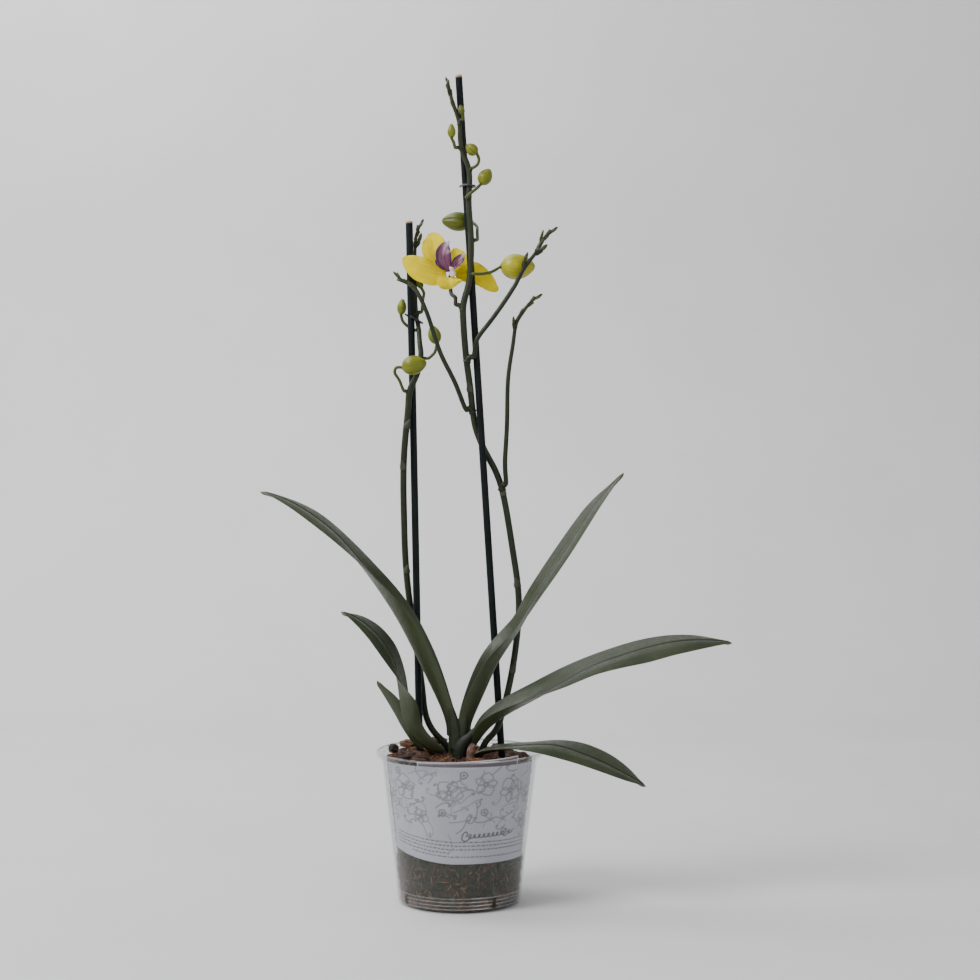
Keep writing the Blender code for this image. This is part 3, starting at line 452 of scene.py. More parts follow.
def leaf_finish(name, plant):
    """Waxy strap leaf: painted shade in the sunken midrib with painted highlights on its shoulders, fine
    lengthwise veins, a painted highlight along the margin and a dark tip.

    Reads "growth" (across from -1 to 1, along from 0 to 1, 1 on the underside) and
    "metres" (distance across, distance along, half width).
    """
    made, shader, surface = material(name)
    _, along, under, _ = shader.attribute("growth")
    side, _, half, metres = shader.attribute("metres")
    mottle = use(shader, MOTTLE, {"Vector": shader.place(), "Scale": 38.0})
    grain = use(shader, GRAIN, {"Vector": metres, "Scale": (1500.0, 22.0, 0.0)})
    from_rib = shader.sum("ABSOLUTE", side)
    from_edge = shader.sum("SUBTRACT", half, from_rib)
    rib = shader.ramp(from_rib, 0.0004, 0.0014, 1.0, 0.0)
    midrib_shoulder_highlight = shader.sum("SUBTRACT", shader.ramp(from_rib, 0.0012, 0.0042, 1.0, 0.0), rib)
    margin = shader.ramp(from_edge, 0.0001, 0.0007, 1.0, 0.0)
    leaf = plant.leaf[:]
    ground = shader.blend(mottle["Broad"], tint(leaf, 0.82), tint(leaf, 1.25))
    ground = shader.wash(ground, grain["Lines"], 0.35, tint(leaf, 1.9))
    ground = shader.blend(shader.ramp(along, 0.02, 0.30, 1.0, 0.0), ground, plant.leaf_base[:])
    # Painted highlight on the shoulders either side of the sunken midrib.
    ground = shader.wash(ground, midrib_shoulder_highlight, 0.30, tint(leaf, 1.9))
    # Painted shade darkening the sunken midrib; the same mask also deepens the relief below.
    ground = shader.wash(ground, rib, 0.92, tint(leaf, 0.22))
    # Painted highlight: a pale line along the leaf's margin.
    ground = shader.wash(ground, margin, 0.60, (0.13, 0.135, 0.075))
    ground = shader.wash(ground, mottle["Spots"], 0.25, (0.09, 0.09, 0.06))
    ground = shader.blend(shader.ramp(along, 0.965, 1.0, 0.0, 0.85), ground, (0.030, 0.020, 0.010))
    ground = shader.wash(ground, under, 0.45, (0.055, 0.066, 0.030))
    surface.inputs["Specular IOR Level"].default_value = 0.36
    height = shader.sum("ADD", grain["Grain"], shader.sum("MULTIPLY", rib, -2.2))
    height = shader.sum("MULTIPLY_ADD", mottle["Fine"], 0.5, height)
    coat(shader, surface, ground, mottle["Fine"], (0.34, 0.50), height, 0.00035, 0.65)
    return made


def stem_finish(name, base, pale, speckle=0.35):
    """Fleshy stem: streaks along it, pale flecks, and a paler far end.

    Reads "growth" (cosine, sine, metres along) and "share" (0 to 1 along, 0, 0).
    """
    made, shader, surface = material(name)
    _, _, _, growth = shader.attribute("growth")
    along, _, _, _ = shader.attribute("share")
    mottle = use(shader, MOTTLE, {"Vector": shader.place(), "Scale": 55.0})
    grain = use(shader, GRAIN, {"Vector": growth, "Scale": (3.2, 3.2, 130.0)})
    ground = shader.blend(mottle["Broad"], tint(base, 0.70), tint(base, 1.30))
    ground = shader.wash(ground, grain["Lines"], 0.35, pale)
    ground = shader.wash(ground, mottle["Spots"], speckle, tint(pale, 1.4))
    ground = shader.blend(shader.ramp(along, 0.55, 1.0, 0.0, 0.45), ground, tint(pale, 1.05))
    surface.inputs["Specular IOR Level"].default_value = 0.30
    height = shader.sum("ADD", grain["Grain"], mottle["Fine"])
    coat(shader, surface, ground, mottle["Fine"], (0.36, 0.56), height, 0.0002, 0.6)
    return made


def bud_finish(name, stalk, base, ripe, ripeness):
    """Bud on its stalk: green at the joint, yellower on the swollen side, with dark veins and painted shade
    in its seams.

    Reads "growth" (cosine, sine, metres along) and "share" (0 to 1 along, swelling, seam).
    """
    made, shader, surface = material(name)
    _, _, _, growth = shader.attribute("growth")
    along, swelling, seam, _ = shader.attribute("share")
    mottle = use(shader, MOTTLE, {"Vector": shader.place(), "Scale": 90.0})
    grain = use(shader, GRAIN, {"Vector": growth, "Scale": (7.0, 7.0, 90.0)})
    yellow = shader.sum("MULTIPLY", shader.ramp(mottle["Broad"], 0.0, 1.0, 0.3, 1.0), ripeness)
    skin_colour = shader.blend(yellow, base, ripe)
    skin_colour = shader.wash(skin_colour, grain["Lines"], 0.35, tint(base, 0.55))
    # Painted shade darkening the grooves where the outer leaves meet.
    skin_colour = shader.wash(skin_colour, seam, 0.6, tint(base, 0.42))
    skin_colour = shader.blend(shader.ramp(along, 0.93, 1.0, 0.0, 0.5), skin_colour, tint(base, 0.5))
    ground = shader.blend(swelling, stalk, skin_colour)
    surface.inputs["Subsurface Weight"].default_value = 0.08
    surface.inputs["Subsurface Radius"].default_value = (0.003, 0.003, 0.0004)
    surface.inputs["Specular IOR Level"].default_value = 0.34
    height = shader.sum("MULTIPLY_ADD", seam, -1.5, grain["Grain"])
    coat(shader, surface, ground, mottle["Fine"], (0.30, 0.46), height, 0.00025, 0.7)
    return made


def petal_finish(name, petal):
    """Yellow petal: veins that run out from the middle, deeper yellow at the throat, greener at the back."""
    made, shader, surface = material(name)
    across, along, under, _ = shader.attribute("growth")
    mottle = use(shader, MOTTLE, {"Vector": shader.place(), "Scale": 70.0})
    fan = shader.add("ShaderNodeCombineXYZ", {0: across, 1: along, 2: under}).outputs[0]
    grain = use(shader, GRAIN, {"Vector": fan, "Scale": (13.0, 1.6, 3.0)})
    ground = shader.blend(mottle["Broad"], tint(petal, 0.90), tint(petal, 1.08))
    ground = shader.wash(ground, grain["Lines"], 0.40, (0.62, 0.40, 0.003))
    ground = shader.blend(shader.ramp(along, 0.0, 0.42, 0.60, 0.0), ground, (0.60, 0.43, 0.006))
    edge = shader.ramp(shader.sum("ABSOLUTE", across), 0.80, 1.0, 0.0, 0.30)
    ground = shader.blend(edge, ground, (0.90, 0.80, 0.02))
    ground = shader.wash(ground, under, 0.25, (0.50, 0.46, 0.010))
    surface.inputs["Subsurface Weight"].default_value = 0.25
    surface.inputs["Subsurface Radius"].default_value = (0.003, 0.0022, 0.0003)
    surface.inputs["Specular IOR Level"].default_value = 0.12
    height = shader.sum("ADD", grain["Grain"], shader.sum("MULTIPLY", mottle["Fine"], 0.6))
    coat(shader, surface, ground, mottle["Fine"], (0.42, 0.60), height, 0.0008, 0.8)
    return made


def lip_finish(name, lip):
    """Purple lip: dark at the rim, with a pale ridge, and washed pale towards its tip."""
    made, shader, surface = material(name)
    across, along, under, _ = shader.attribute("growth")
    mottle = use(shader, MOTTLE, {"Vector": shader.place(), "Scale": 160.0})
    fan = shader.add("ShaderNodeCombineXYZ", {0: across, 1: along, 2: under}).outputs[0]
    grain = use(shader, GRAIN, {"Vector": fan, "Scale": (11.0, 1.4, 2.0)})
    pale = (0.62, 0.50, 0.62)
    ground = shader.blend(mottle["Broad"], tint(lip, 0.8), tint(lip, 1.5))
    ground = shader.wash(ground, grain["Lines"], 0.45, (0.35, 0.15, 0.26))
    ground = shader.blend(shader.ramp(along, 0.62, 0.92, 0.0, 0.8), ground, pale)
    ridge = shader.ramp(shader.sum("ABSOLUTE", across), 0.0, 0.35, 0.55, 0.0)
    ground = shader.blend(shader.sum("MULTIPLY", ridge, shader.ramp(along, 0.35, 0.7)), ground, pale)
    rim = shader.ramp(shader.sum("ABSOLUTE", across), 0.55, 0.85, 0.0, 0.95)
    rim = shader.sum("MULTIPLY", rim, shader.ramp(along, 0.76, 0.95, 1.0, 0.0))
    ground = shader.blend(rim, ground, (0.045, 0.006, 0.055))
    ground = shader.wash(ground, under, 0.4, (0.45, 0.22, 0.34))
    surface.inputs["Subsurface Weight"].default_value = 0.15
    surface.inputs["Subsurface Radius"].default_value = (0.003, 0.001, 0.002)
    coat(shader, surface, ground, mottle["Fine"], (0.30, 0.48), grain["Grain"], 0.0004, 0.6)
    return made


def speckled_finish(name, dark, light, scale, rough=(0.5, 0.8), relief=0.0008, fleck=None, fleck_share=0.5):
    """Bark, chip, root or dried stem: two tones, a few flecks and a rough face."""
    made, shader, surface = material(name)
    place = shader.place()
    mottle = use(shader, MOTTLE, {"Vector": place, "Scale": scale})
    streaks = shader.noise(shader.stretch(place, (1.0, 1.0, 0.22)), scale * 4.0, 5.0, 0.7)
    tone = shader.sum("MULTIPLY_ADD", streaks, 0.6, shader.sum("MULTIPLY", mottle["Broad"], 0.4))
    ground = shader.blend(shader.ramp(tone, 0.3, 0.75), dark, light)
    ground = shader.wash(ground, mottle["Spots"], fleck_share, fleck or tint(light, 1.8))
    height = shader.sum("ADD", streaks, mottle["Fine"])
    coat(shader, surface, ground, mottle["Fine"], rough, height, relief, 0.9)
    return made


# ---------------------------------------------------------------- plant pieces


def blade_rings(node, start_near, upper):
    """An eight-sided blade's rings from its base: 0 is a margin, 2 the upper midrib, 4 the other margin."""
    rings = rings_of(node, 8)
    if (Vector(rings[0][0]) - start_near).length > (Vector(rings[-1][0]) - start_near).length:
        rings = rings[::-1]
    middle = rings[1:-1]
    best = min(range(4), key=lambda k: pair_distance(np.roll(middle, -k, axis=1)))
    rings = np.roll(rings, -best, axis=1)
    lift = rings[1:-1, 2] - rings[1:-1, 6]
    if (lift @ np.array(upper)).sum() < 0:
        rings = np.roll(rings[:, ::-1], 1, axis=1)
    return rings


def pair_distance(rings):
    """How far apart the points that face each other across a blade's thickness are."""
    return sum(np.linalg.norm(rings[:, k] - rings[:, -k], axis=1).sum() for k in (1, 2, 3))


# A blade's crease is this wide, and fades where the blade's half width is under NARROW.
CREASE_WIDTH = 0.9 * MM
NARROW = 3 * MM


def grow_blade(name, rings, finish, around=7, between=3, ruffle=0.0, seed=0, crease=0.0):
    """Fine blade over its rings, with the attributes that its finish reads."""
    fine = finer(rings, around, between)
    count, size = fine.shape[:2]
    quarter = size // 4
    turn = np.arange(size) / size
    across = 4 * np.abs(turn - 0.5) - 1
    along = np.linspace(0.0, 1.0, count)
    straight = np.linalg.norm(fine[:, 2 * quarter] - fine[:, 0], axis=1) / 2
    half = np.maximum(straight, arc_half(fine, quarter))
    distance = lengths_along(fine)
    if ruffle:
        fine = ruffled(fine, across, along, ruffle, seed)
    if crease:
        dip = np.exp(-((across[None] * half[:, None] / CREASE_WIDTH) ** 2)) * crease
        fine = fine - upward(fine)[:, None] * (dip * np.minimum(1.0, half / NARROW)[:, None])[..., None]
    under = (turn > 0.5).astype(float)
    growth = together(across[None], along[:, None], under[None])
    metres = together(across[None] * half[:, None], distance[:, None], half[:, None])
    return skin_with(name, fine, finish, growth=growth, metres=metres)


def arc_half(fine, quarter):
    """Half width of each ring measured over its upper face."""
    upper = fine[:, : 2 * quarter + 1]
    return np.linalg.norm(np.diff(upper, axis=1), axis=2).sum(axis=1) / 2


def upward(fine):
    """Direction from the underside to the upper face at each ring of a blade."""
    size = fine.shape[1]
    lift = fine[:, size // 4] - fine[:, 3 * size // 4]
    return lift / np.maximum(np.linalg.norm(lift, axis=1, keepdims=True), 1e-9)


def ruffled(fine, across, along, amount, seed):
    """Gives a petal's margins a slight wave."""
    wave = np.sin(along[:, None] * 17 + seed * 1.7 + np.sign(across[None]) * 1.1) * np.abs(across[None]) ** 3
    wave += 0.6 * np.sin(along[:, None] * 31 + seed * 2.9) * across[None] ** 4 * np.sign(across[None])
    fade = np.sin(np.pi * np.clip(along * 1.04, 0, 1))[:, None]
    return fine + upward(fine)[:, None] * (wave * fade * amount)[..., None]


def stem_rings(node, sides):
    """A stem's rings from its lower end."""
    rings = rings_of(node, sides)
    if rings[0][0][2] > rings[-1][0][2]:
        rings = rings[::-1]
    return rings


def grow_stem(name, rings, finish, around=3, between=3, swell=None):
    """Fine round stem over its rings; swell(metres along) gives how much it thickens there."""
    fine = finer(rings, around, between)
    distance = lengths_along(fine)
    middles = fine.mean(axis=1, keepdims=True)
    if swell:
        fine = middles + (fine - middles) * (1 + np.array([swell(d) for d in distance]))[:, None, None]
    size = fine.shape[1]
    turn = TURN * np.arange(size) / size
    growth = together(np.cos(turn)[None], np.sin(turn)[None], distance[:, None])
    share = (distance / distance[-1])[:, None]
    shares = together(share, 0 * turn[None], 0 * turn[None])
    return skin_with(name, fine, finish, growth=growth, share=shares)


def grow_bud(name, rings, finish, seams=3):
    """Bud on its stalk: the bud swells from the stalk and its three outer leaves meet in grooves."""
    width = np.linalg.norm(rings - rings.mean(axis=1, keepdims=True), axis=2).mean(axis=1)
    if width.argmax() < len(width) / 2:
        rings = rings[::-1]
        width = width[::-1]
    fine = finer(rings, 4, 4)
    middles = fine.mean(axis=1, keepdims=True)
    radius = np.linalg.norm(fine - middles, axis=2).mean(axis=1)
    widest = int(radius.argmax())
    stalk = np.median(radius[1 : widest // 2 + 2])
    swelling = np.clip((radius - 1.12 * stalk) / (0.22 * radius[widest]), 0, 1)
    swelling[widest:] = 1.0
    size = fine.shape[1]
    turn = TURN * np.arange(size) / size
    groove = np.exp(-((np.abs(((turn * seams / TURN + 0.4) % 1.0) - 0.5) / 0.055) ** 2))
    distance = lengths_along(fine)
    closing = np.clip((distance - distance[widest] * 0.9) / (distance[-1] - distance[widest] * 0.9), 0, 1)
    depth = swelling * (0.05 + 0.10 * closing)
    fine = middles + (fine - middles) * (1 - depth[:, None] * groove[None])[..., None]
    growth = together(np.cos(turn)[None], np.sin(turn)[None], distance[:, None])
    share = distance / distance[-1]
    shares = together(share[:, None], swelling[:, None], swelling[:, None] * groove[None])
    return skin_with(name, fine, finish, growth=growth, share=shares)


def grow_cane(name, rings, finish):
    """Round cane with slightly uneven grown sides and crisp sawn ends."""
    ends = np.swapaxes(through(np.swapaxes(rings[1:-1], 0, 1), 3, closed=True), 0, 1)
    low, high = ends[0], ends[-1]
    middles = ends.mean(axis=1)
    span = np.linalg.norm(middles[1] - middles[0])
    shares = np.concatenate([[0.0, 0.0012], np.linspace(0.004, 0.996, 90), [0.9988, 1.0]])
    rows = []
    for share in shares:
        ring = low + (high - low) * share
        middle = ring.mean(axis=0)
        sawn = 0.93 if share in (0.0, 1.0) else 1.0
        spots = [noise.noise(Vector((40 * x + 9, 500 * y, 9 * z))) for x, y, z in ring]
        joint = 0.05 * math.exp(-((((share * 3.4) % 1.0) - 0.5) / 0.012) ** 2)
        rows.append(middle + (ring - middle) * (sawn - 0.03 + joint * 0.6 + 0.025 * np.array(spots))[:, None])
    fine = with_poles(np.array(rows))
    count, size = fine.shape[:2]
    turn = TURN * np.arange(size) / size
    distance = np.concatenate([[0.0], shares, [1.0]]) * span
    growth = together(np.cos(turn)[None], np.sin(turn)[None], distance[:, None])
    sawn_end = np.zeros(count)
    sawn_end[-3:] = 1.0
    shares = together(sawn_end[:, None], distance[:, None] / span, 0 * turn[None])
    return skin_with(name, fine, finish, growth=growth, share=shares)


def cane_finish(name, cane):
    """Dyed cane: near-black green with thin worn streaks and a pale sawn top."""
    made, shader, surface = material(name)
    _, _, _, growth = shader.attribute("growth")
    sawn, _, _, _ = shader.attribute("share")
    mottle = use(shader, MOTTLE, {"Vector": shader.place(), "Scale": 45.0})
    grain = use(shader, GRAIN, {"Vector": growth, "Scale": (5.0, 5.0, 26.0)})
    ground = shader.blend(mottle["Broad"], tint(cane, 0.7), tint(cane, 1.8))
    ground = shader.wash(ground, grain["Lines"], 0.22, (0.010, 0.020, 0.019))
    ground = shader.blend(sawn, ground, (0.46, 0.34, 0.20))
    surface.inputs["Specular IOR Level"].default_value = 0.16
    coat(shader, surface, ground, mottle["Fine"], (0.38, 0.58), grain["Grain"], 0.0003, 0.8)
    return made


def clip_finish(name, clip):
    """Moulded clip: dark plastic with a fine sparkle of flow marks."""
    made, shader, surface = material(name)
    mottle = use(shader, MOTTLE, {"Vector": shader.place(), "Scale": 140.0})
    ground = shader.blend(mottle["Broad"], tint(clip, 0.8), tint(clip, 1.7))
    coat(shader, surface, ground, mottle["Fine"], (0.28, 0.44), mottle["Fine"], 0.00015, 0.5)
    return made


def thin_rings(rows, facing, thick, columns=13, steps=6, ripple=0.0, seed=0):
    """Rings of a thin curved blade. Each row is a middle point, a half width and how far its margins rise."""
    points = through(np.array([tuple(row[0]) for row in rows], float), steps)
    sizes = through(np.array([row[1:3] for row in rows], float), steps)
    ways = np.gradient(points, axis=0)
    ways /= np.linalg.norm(ways, axis=1, keepdims=True)
    face = np.array(facing, float)
    lift = face - (ways @ face)[:, None] * ways
    lift /= np.linalg.norm(lift, axis=1, keepdims=True)
    side = np.cross(ways, lift)
    across = np.linspace(-1, 1, columns)
    along = np.linspace(0, 1, len(points))
    half, rise = np.maximum(sizes[:, :1], 1e-5), sizes[:, 1:2]
    wave = np.sin(21 * along[:, None] + 2.3 * np.sign(across)[None] + seed) * np.abs(across)[None] ** 3
    height = rise * across[None] ** 2 + ripple * wave
    flat = points[:, None] + side[:, None] * (half * across[None])[..., None]
    flat = flat + lift[:, None] * height[..., None]
    body = (thick / 2 * np.sqrt(np.maximum(1 - across**2, 0)))[None] * np.ones_like(half)
    top = flat + lift[:, None] * body[..., None]
    under = flat - lift[:, None] * body[..., None]
    rings = with_poles(np.concatenate([top, under[:, -2:0:-1]], axis=1))
    t = np.concatenate([across, across[-2:0:-1]])
    flag = np.concatenate([np.zeros(columns), np.ones(columns - 2)])
    share = np.concatenate([[0.0], along, [1.0]])
    growth = together(t[None], share[:, None], flag[None])
    widths = np.concatenate([half[:1], half, half[-1:]])
    distance = lengths_along(rings)
    metres = together(t[None] * widths, distance[:, None], widths)
    return rings, growth, metres


def thin_blade(name, rows, facing, thick, finish, **shape):
    """Thin curved blade from the same rows as thin_rings."""
    rings, growth, metres = thin_rings(rows, facing, thick, **shape)
    return skin_with(name, rings, finish, growth=growth, metres=metres)


def axis_at(rings, height):
    """Middle and radius of a stem where it passes a height above the floor."""
    middles = rings.mean(axis=1)
    radii = np.linalg.norm(rings - middles[:, None], axis=2).mean(axis=1)
    k = int(np.searchsorted(middles[:, 2], height))
    k = min(max(k, 2), len(middles) - 2)
    share = (height - middles[k - 1, 2]) / max(middles[k, 2] - middles[k - 1, 2], 1e-6)
    return middles[k - 1] + (middles[k] - middles[k - 1]) * share, radii[k]


def grow_bract(name, rings, height, toward, tall, finish):
    """Small pointed sheath that hugs a stem above one of its joints."""
    rows = []
    for share, spread in ((0.0, 1.30), (0.25, 1.32), (0.55, 1.0), (0.8, 0.62), (1.0, 0.06)):
        middle, radius = axis_at(rings, height + tall * share)
        out = Vector(toward).normalized() * radius * (1.10 + 0.25 * share)
        rows.append((Vector(middle) + out, radius * spread, -radius * 0.95 * min(1.0, spread)))
    return thin_blade(name, rows, toward, 0.35 * MM, finish, steps=4, columns=11)


FLOWER_FACE = (0.0, -0.99, 0.14)


def flower_point(right, up, forward):
    """Place of a point given in millimetres in the flower's own directions from the column's middle."""
    face = Vector(FLOWER_FACE).normalized()
    sideways = Vector((1.0, 0.0, 0.0))
    return COLUMN_MIDDLE + (sideways * right + face.cross(sideways) * up + face * forward) * MM


# ---------------------------------------------------------------- pot, paper and bark


def revolve(name, profile, sides, finish):
    """Turned closed solid from (radius, height) points whose first and last lie on the axis."""
    rings = []
    for radius, height in profile:
        turn = TURN * np.arange(sides) / sides
        rings.append(np.stack([radius * np.cos(turn), radius * np.sin(turn), 0 * turn + height], axis=-1))
    return skin(name, np.array(rings), finish)


def wall_radius(z):
    """Outside of the pot's tapered wall at a height."""
    foot = FOOT_RADIUS + 1.0 * MM
    return foot + (RIM_RADIUS - 4.0 * MM - foot) * min(z / WALL_TOP, 1.1)


def foot_radius():
    """Radius of the pot's foot where it stands on the floor."""
    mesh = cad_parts["clear_pot"].data
    return max(math.hypot(v.co.x, v.co.y) for v in mesh.vertices if v.co.z < 0.1 * MM)


FOOT_RADIUS = foot_radius()
WALL_TOP = POT_HEIGHT - 4.5 * MM
WALL = 0.9 * MM


def pot_profile():
    """Outline of the pot from the middle of its foot up the outside, over the lip and down inside."""
    outer = [(0.0, 0.0), (0.5 * FOOT_RADIUS, 0.0), (FOOT_RADIUS - 0.4 * MM, 0.0)]
    outer.append((FOOT_RADIUS + 0.35 * MM, 0.3 * MM))
    outer.append((wall_radius(1.0 * MM), 1.0 * MM))
    for height in (3.0, 5.6, 8.2, 10.8):
        for step, out in ((-0.9, 0.0), (-0.45, 0.3), (0.0, 0.45), (0.45, 0.3), (0.9, 0.0)):
            z = (height + step) * MM
            outer.append((wall_radius(z) + out * MM, z))
    for share in np.linspace(0.16, 0.97, 18):
        outer.append((wall_radius(share * WALL_TOP), share * WALL_TOP))
    rim = RIM_RADIUS / MM
    top = POT_HEIGHT / MM
    lip = [(rim - 3.4, top - 4.4), (rim - 0.8, top - 3.9), (rim - 0.2, top - 3.5), (rim, top - 3.0)]
    lip += [(rim, top - 0.5), (rim - 0.12, top - 0.15), (rim - 0.45, top), (rim - 0.9, top)]
    lip += [(rim - 1.15, top - 0.15), (rim - 1.2, top - 0.5), (rim - 1.2, top - 2.2), (rim - 1.7, top - 2.8)]
    lip += [(rim - 4.2, top - 3.3)]
    outer += [(radius * MM, height * MM) for radius, height in lip]
    for share in np.linspace(0.99, 0.03, 20):
        z = share * WALL_TOP
        outer.append((wall_radius(z) - WALL, z))
    floor = 1.2 * MM
    outer += [(wall_radius(floor) - WALL - 1.0 * MM, floor), (0.5 * FOOT_RADIUS, floor), (0.0, floor)]
    return outer


def cut_slots(pot):
    """Drain slots through the foot of the wall and through the floor."""
    for k in range(4):
        angle = math.radians(90.0 * k - 56.0)
        out = Vector((math.cos(angle), math.sin(angle), 0.0))
        along = Vector((-out.y, out.x, 0.0))
        slot = out * wall_radius(6.5 * MM) + Vector((0, 0, 6.5 * MM))
        hole = out * (0.62 * (FOOT_RADIUS + 1.0 * MM)) + Vector((0, 0, 0.6 * MM))
        for place, size in ((slot, (6.0, 3.0, 7.0)), (hole, (9.0, 3.5, 3.6))):
            rings = rounded_bar(place, out, along, size)
            cutter = skin("cutter", rings, None)
            change = pot.modifiers.new("slot", "BOOLEAN")
            change.object = cutter
            change.operation = "DIFFERENCE"
            change.solver = "EXACT"
            flatten(pot)
            bpy.data.objects.remove(cutter)


def rounded_bar(place, out, along, size):
    """Bar with rounded upright corners, as rings with a pole at each end."""
    rings = []
    corner = 0.8 * MM
    for level in (-0.5, 0.5):
        ring = []
        for turn in np.linspace(0, TURN, 24, endpoint=False) + TURN / 48:
            x = math.copysign(size[0] / 2 * MM - corner, math.cos(turn)) + corner * math.cos(turn)
            y = math.copysign(size[1] / 2 * MM - corner, math.sin(turn)) + corner * math.sin(turn)
            ring.append(tuple(place + out * x + along * y + Vector((0, 0, level * size[2] * MM))))
        rings.append(ring)
    return with_poles(np.array(rings))


def flatten(made):
    """Applies a piece's modifiers to its mesh."""
    seen = made.evaluated_get(bpy.context.evaluated_depsgraph_get())
    mesh = bpy.data.meshes.new_from_object(seen)
    made.modifiers.clear()
    made.data = mesh
    return made


# Moulded ribs stand this far apart, from the foot up to RIB_TOP.
RIB_PITCH = 2.6 * MM
RIB_TOP = 11.5 * MM


def plastic_finish(name, plastic):
    """Thin clear plastic: shows what is behind it and is glossier towards its edges, with painted reflection
    bands at its ribs and at its lip.
    """
    made, shader, surface = material(name)
    mottle = use(shader, MOTTLE, {"Vector": shader.place(), "Scale": 60.0})
    surface.inputs["Base Color"].default_value = (0.62, 0.63, 0.62, 1.0)
    surface.inputs["Metallic"].default_value = 1.0
    shader.feed(surface.inputs["Roughness"], shader.ramp(mottle["Fine"], 0.3, 0.7, 0.06, 0.18))
    wavy = shader.noise(shader.place(), 24.0, 2.0)
    shader.feed(surface.inputs["Normal"], shader.bump(wavy, 0.0006, 0.35))
    clear = shader.add("ShaderNodeBsdfTransparent", {"Color": (*plastic, 1.0)}).outputs[0]
    edge = shader.add("ShaderNodeLayerWeight", {"Blend": 0.5}).outputs["Facing"]
    inside = shader.add("ShaderNodeNewGeometry").outputs["Backfacing"]
    strength = shader.sum("MULTIPLY_ADD", inside, -0.5, 0.75)
    share = shader.sum("MULTIPLY_ADD", shader.sum("POWER", edge, 3.0), strength, 0.035)
    height = shader.add("ShaderNodeSeparateXYZ", {0: shader.place()}).outputs[2]
    # Painted reflection: the mirror-like layer is mixed in more strongly in bands at the rib crests, set by
    # height alone.
    wave = shader.sum("SINE", shader.sum("MULTIPLY", height, TURN / RIB_PITCH))
    low = shader.ramp(height, RIB_TOP - 0.5 * MM, RIB_TOP, 1.0, 0.0)
    ribs = shader.sum("MULTIPLY", shader.ramp(wave, 0.70, 0.95, 0.0, 0.32), low)
    # Painted reflection band just under the rim.
    lip = shader.ramp(height, POT_HEIGHT - 1.6 * MM, POT_HEIGHT - 0.9 * MM, 0.0, 0.30)
    share = shader.sum("ADD", share, shader.sum("ADD", ribs, lip))
    mixed = shader.add("ShaderNodeMixShader", {0: share, 1: clear, 2: surface.outputs[0]}).outputs[0]
    shader.feed(made.node_tree.nodes["Material Output"].inputs["Surface"], mixed)
    return made


def sheet_columns(node):
    """Columns of a curved paper from left to right.

    Each is an angle, then (height, radius) low and high on the outside, and the same on the inside.
    """
    shape = welded(node)
    columns = {}
    for vert in shape.verts:
        angle = math.atan2(vert.co.x, -vert.co.y)
        columns.setdefault(round(angle, 3), []).append((vert.co.z, math.hypot(vert.co.x, vert.co.y)))
    shape.free()
    rows = []
    for angle in sorted(columns):
        corners = sorted(columns[angle])
        low, high = sorted(corners[:2], key=lambda c: c[1]), sorted(corners[2:], key=lambda c: c[1])
        rows.append((angle, *low[1], *high[1], *low[0], *high[0]))
    return np.array(rows)


def paper_sheet(name, node, finish, spacing):
    """Fine grid over a curved paper.

    Returns the piece, each point's place across and up the paper, and the paper's height.
    """
    columns = sheet_columns(node)
    width = (columns[-1, 0] - columns[0, 0]) * columns[:, 2].mean()
    tall = columns[:, 3].mean() - columns[:, 1].mean()
    across = max(8, int(width / spacing))
    up = max(4, int(tall / spacing))
    angles = np.linspace(columns[0, 0], columns[-1, 0], across + 1)
    table = [np.interp(angles, columns[:, 0], columns[:, k]) for k in range(1, 9)]
    share = np.linspace(0, 1, up + 1)
    sheets = []
    for k in (0, 4):
        height = table[k][:, None] + (table[k + 2] - table[k])[:, None] * share
        radius = table[k + 1][:, None] + (table[k + 3] - table[k + 1])[:, None] * share
        ripple = 0.10 * MM * np.sin(9 * angles)[:, None] * np.sin(2.2 * share + 0.5)[None]
        radius = radius - (0.12 * MM + ripple) * (share[None] ** 0.5)
        turn = np.broadcast_to(angles[:, None], radius.shape)
        sheets.append(np.stack([radius * np.sin(turn), -radius * np.cos(turn), height], axis=-1))
    points = np.concatenate([sheet.reshape(-1, 3) for sheet in sheets])
    faces = []
    side = up + 1
    back = (across + 1) * side
    for i in range(across):
        for j in range(up):
            a = i * side + j
            faces.append((a, a + side, a + side + 1, a + 1))
            faces.append((back + a, back + a + 1, back + a + side + 1, back + a + side))
        low, high = i * side, i * side + up
        faces.append((low, back + low, back + low + side, low + side))
        faces.append((high, high + side, back + high + side, back + high))
    for i in (0, across):
        for j in range(up):
            a = i * side + j
            face = (a, a + 1, back + a + 1, back + a)
            faces.append(face if i == 0 else face[::-1])
    made = outward(add_object(name, points, faces, finish))
    sideways = np.broadcast_to((angles * columns[:, 2].mean())[:, None], (across + 1, up + 1))
    flat = np.stack([sideways, np.broadcast_to(share[None] * tall, sideways.shape)], axis=-1).reshape(-1, 2)
    return made, np.concatenate([flat, flat]), tall


def petal_outline(turn, reach, wide):
    """Closed outline of one petal of a drawn flower, from its middle outwards."""
    shares = np.linspace(0, 1, 13)
    half = wide * np.sin(np.pi * shares**0.8) ** 0.8
    out = np.stack([reach * (0.12 + 0.88 * shares), half], axis=-1)
    back = out[::-1] * (1, -1)
    loop = np.concatenate([out, back])
    spin = np.array([[math.cos(turn), math.sin(turn)], [-math.sin(turn), math.cos(turn)]])
    return loop @ spin


def drawn_flower(x, y, size, turn):
    """Lines of a five-petalled flower with a small lip in its middle."""
    lines = []
    for k, (reach, wide) in enumerate(((1.0, 0.34), (1.05, 0.55), (0.95, 0.32), (0.95, 0.32), (1.05, 0.55))):
        loop = petal_outline(turn + k * TURN / 5, reach * size, wide * size)
        lines.append(loop + (x, y))
    ring = np.linspace(0, TURN, 15)
    for radius in (0.22, 0.11):
        lines.append(np.stack([x + radius * size * np.cos(ring), y + radius * size * np.sin(ring)], axis=-1))
    return lines


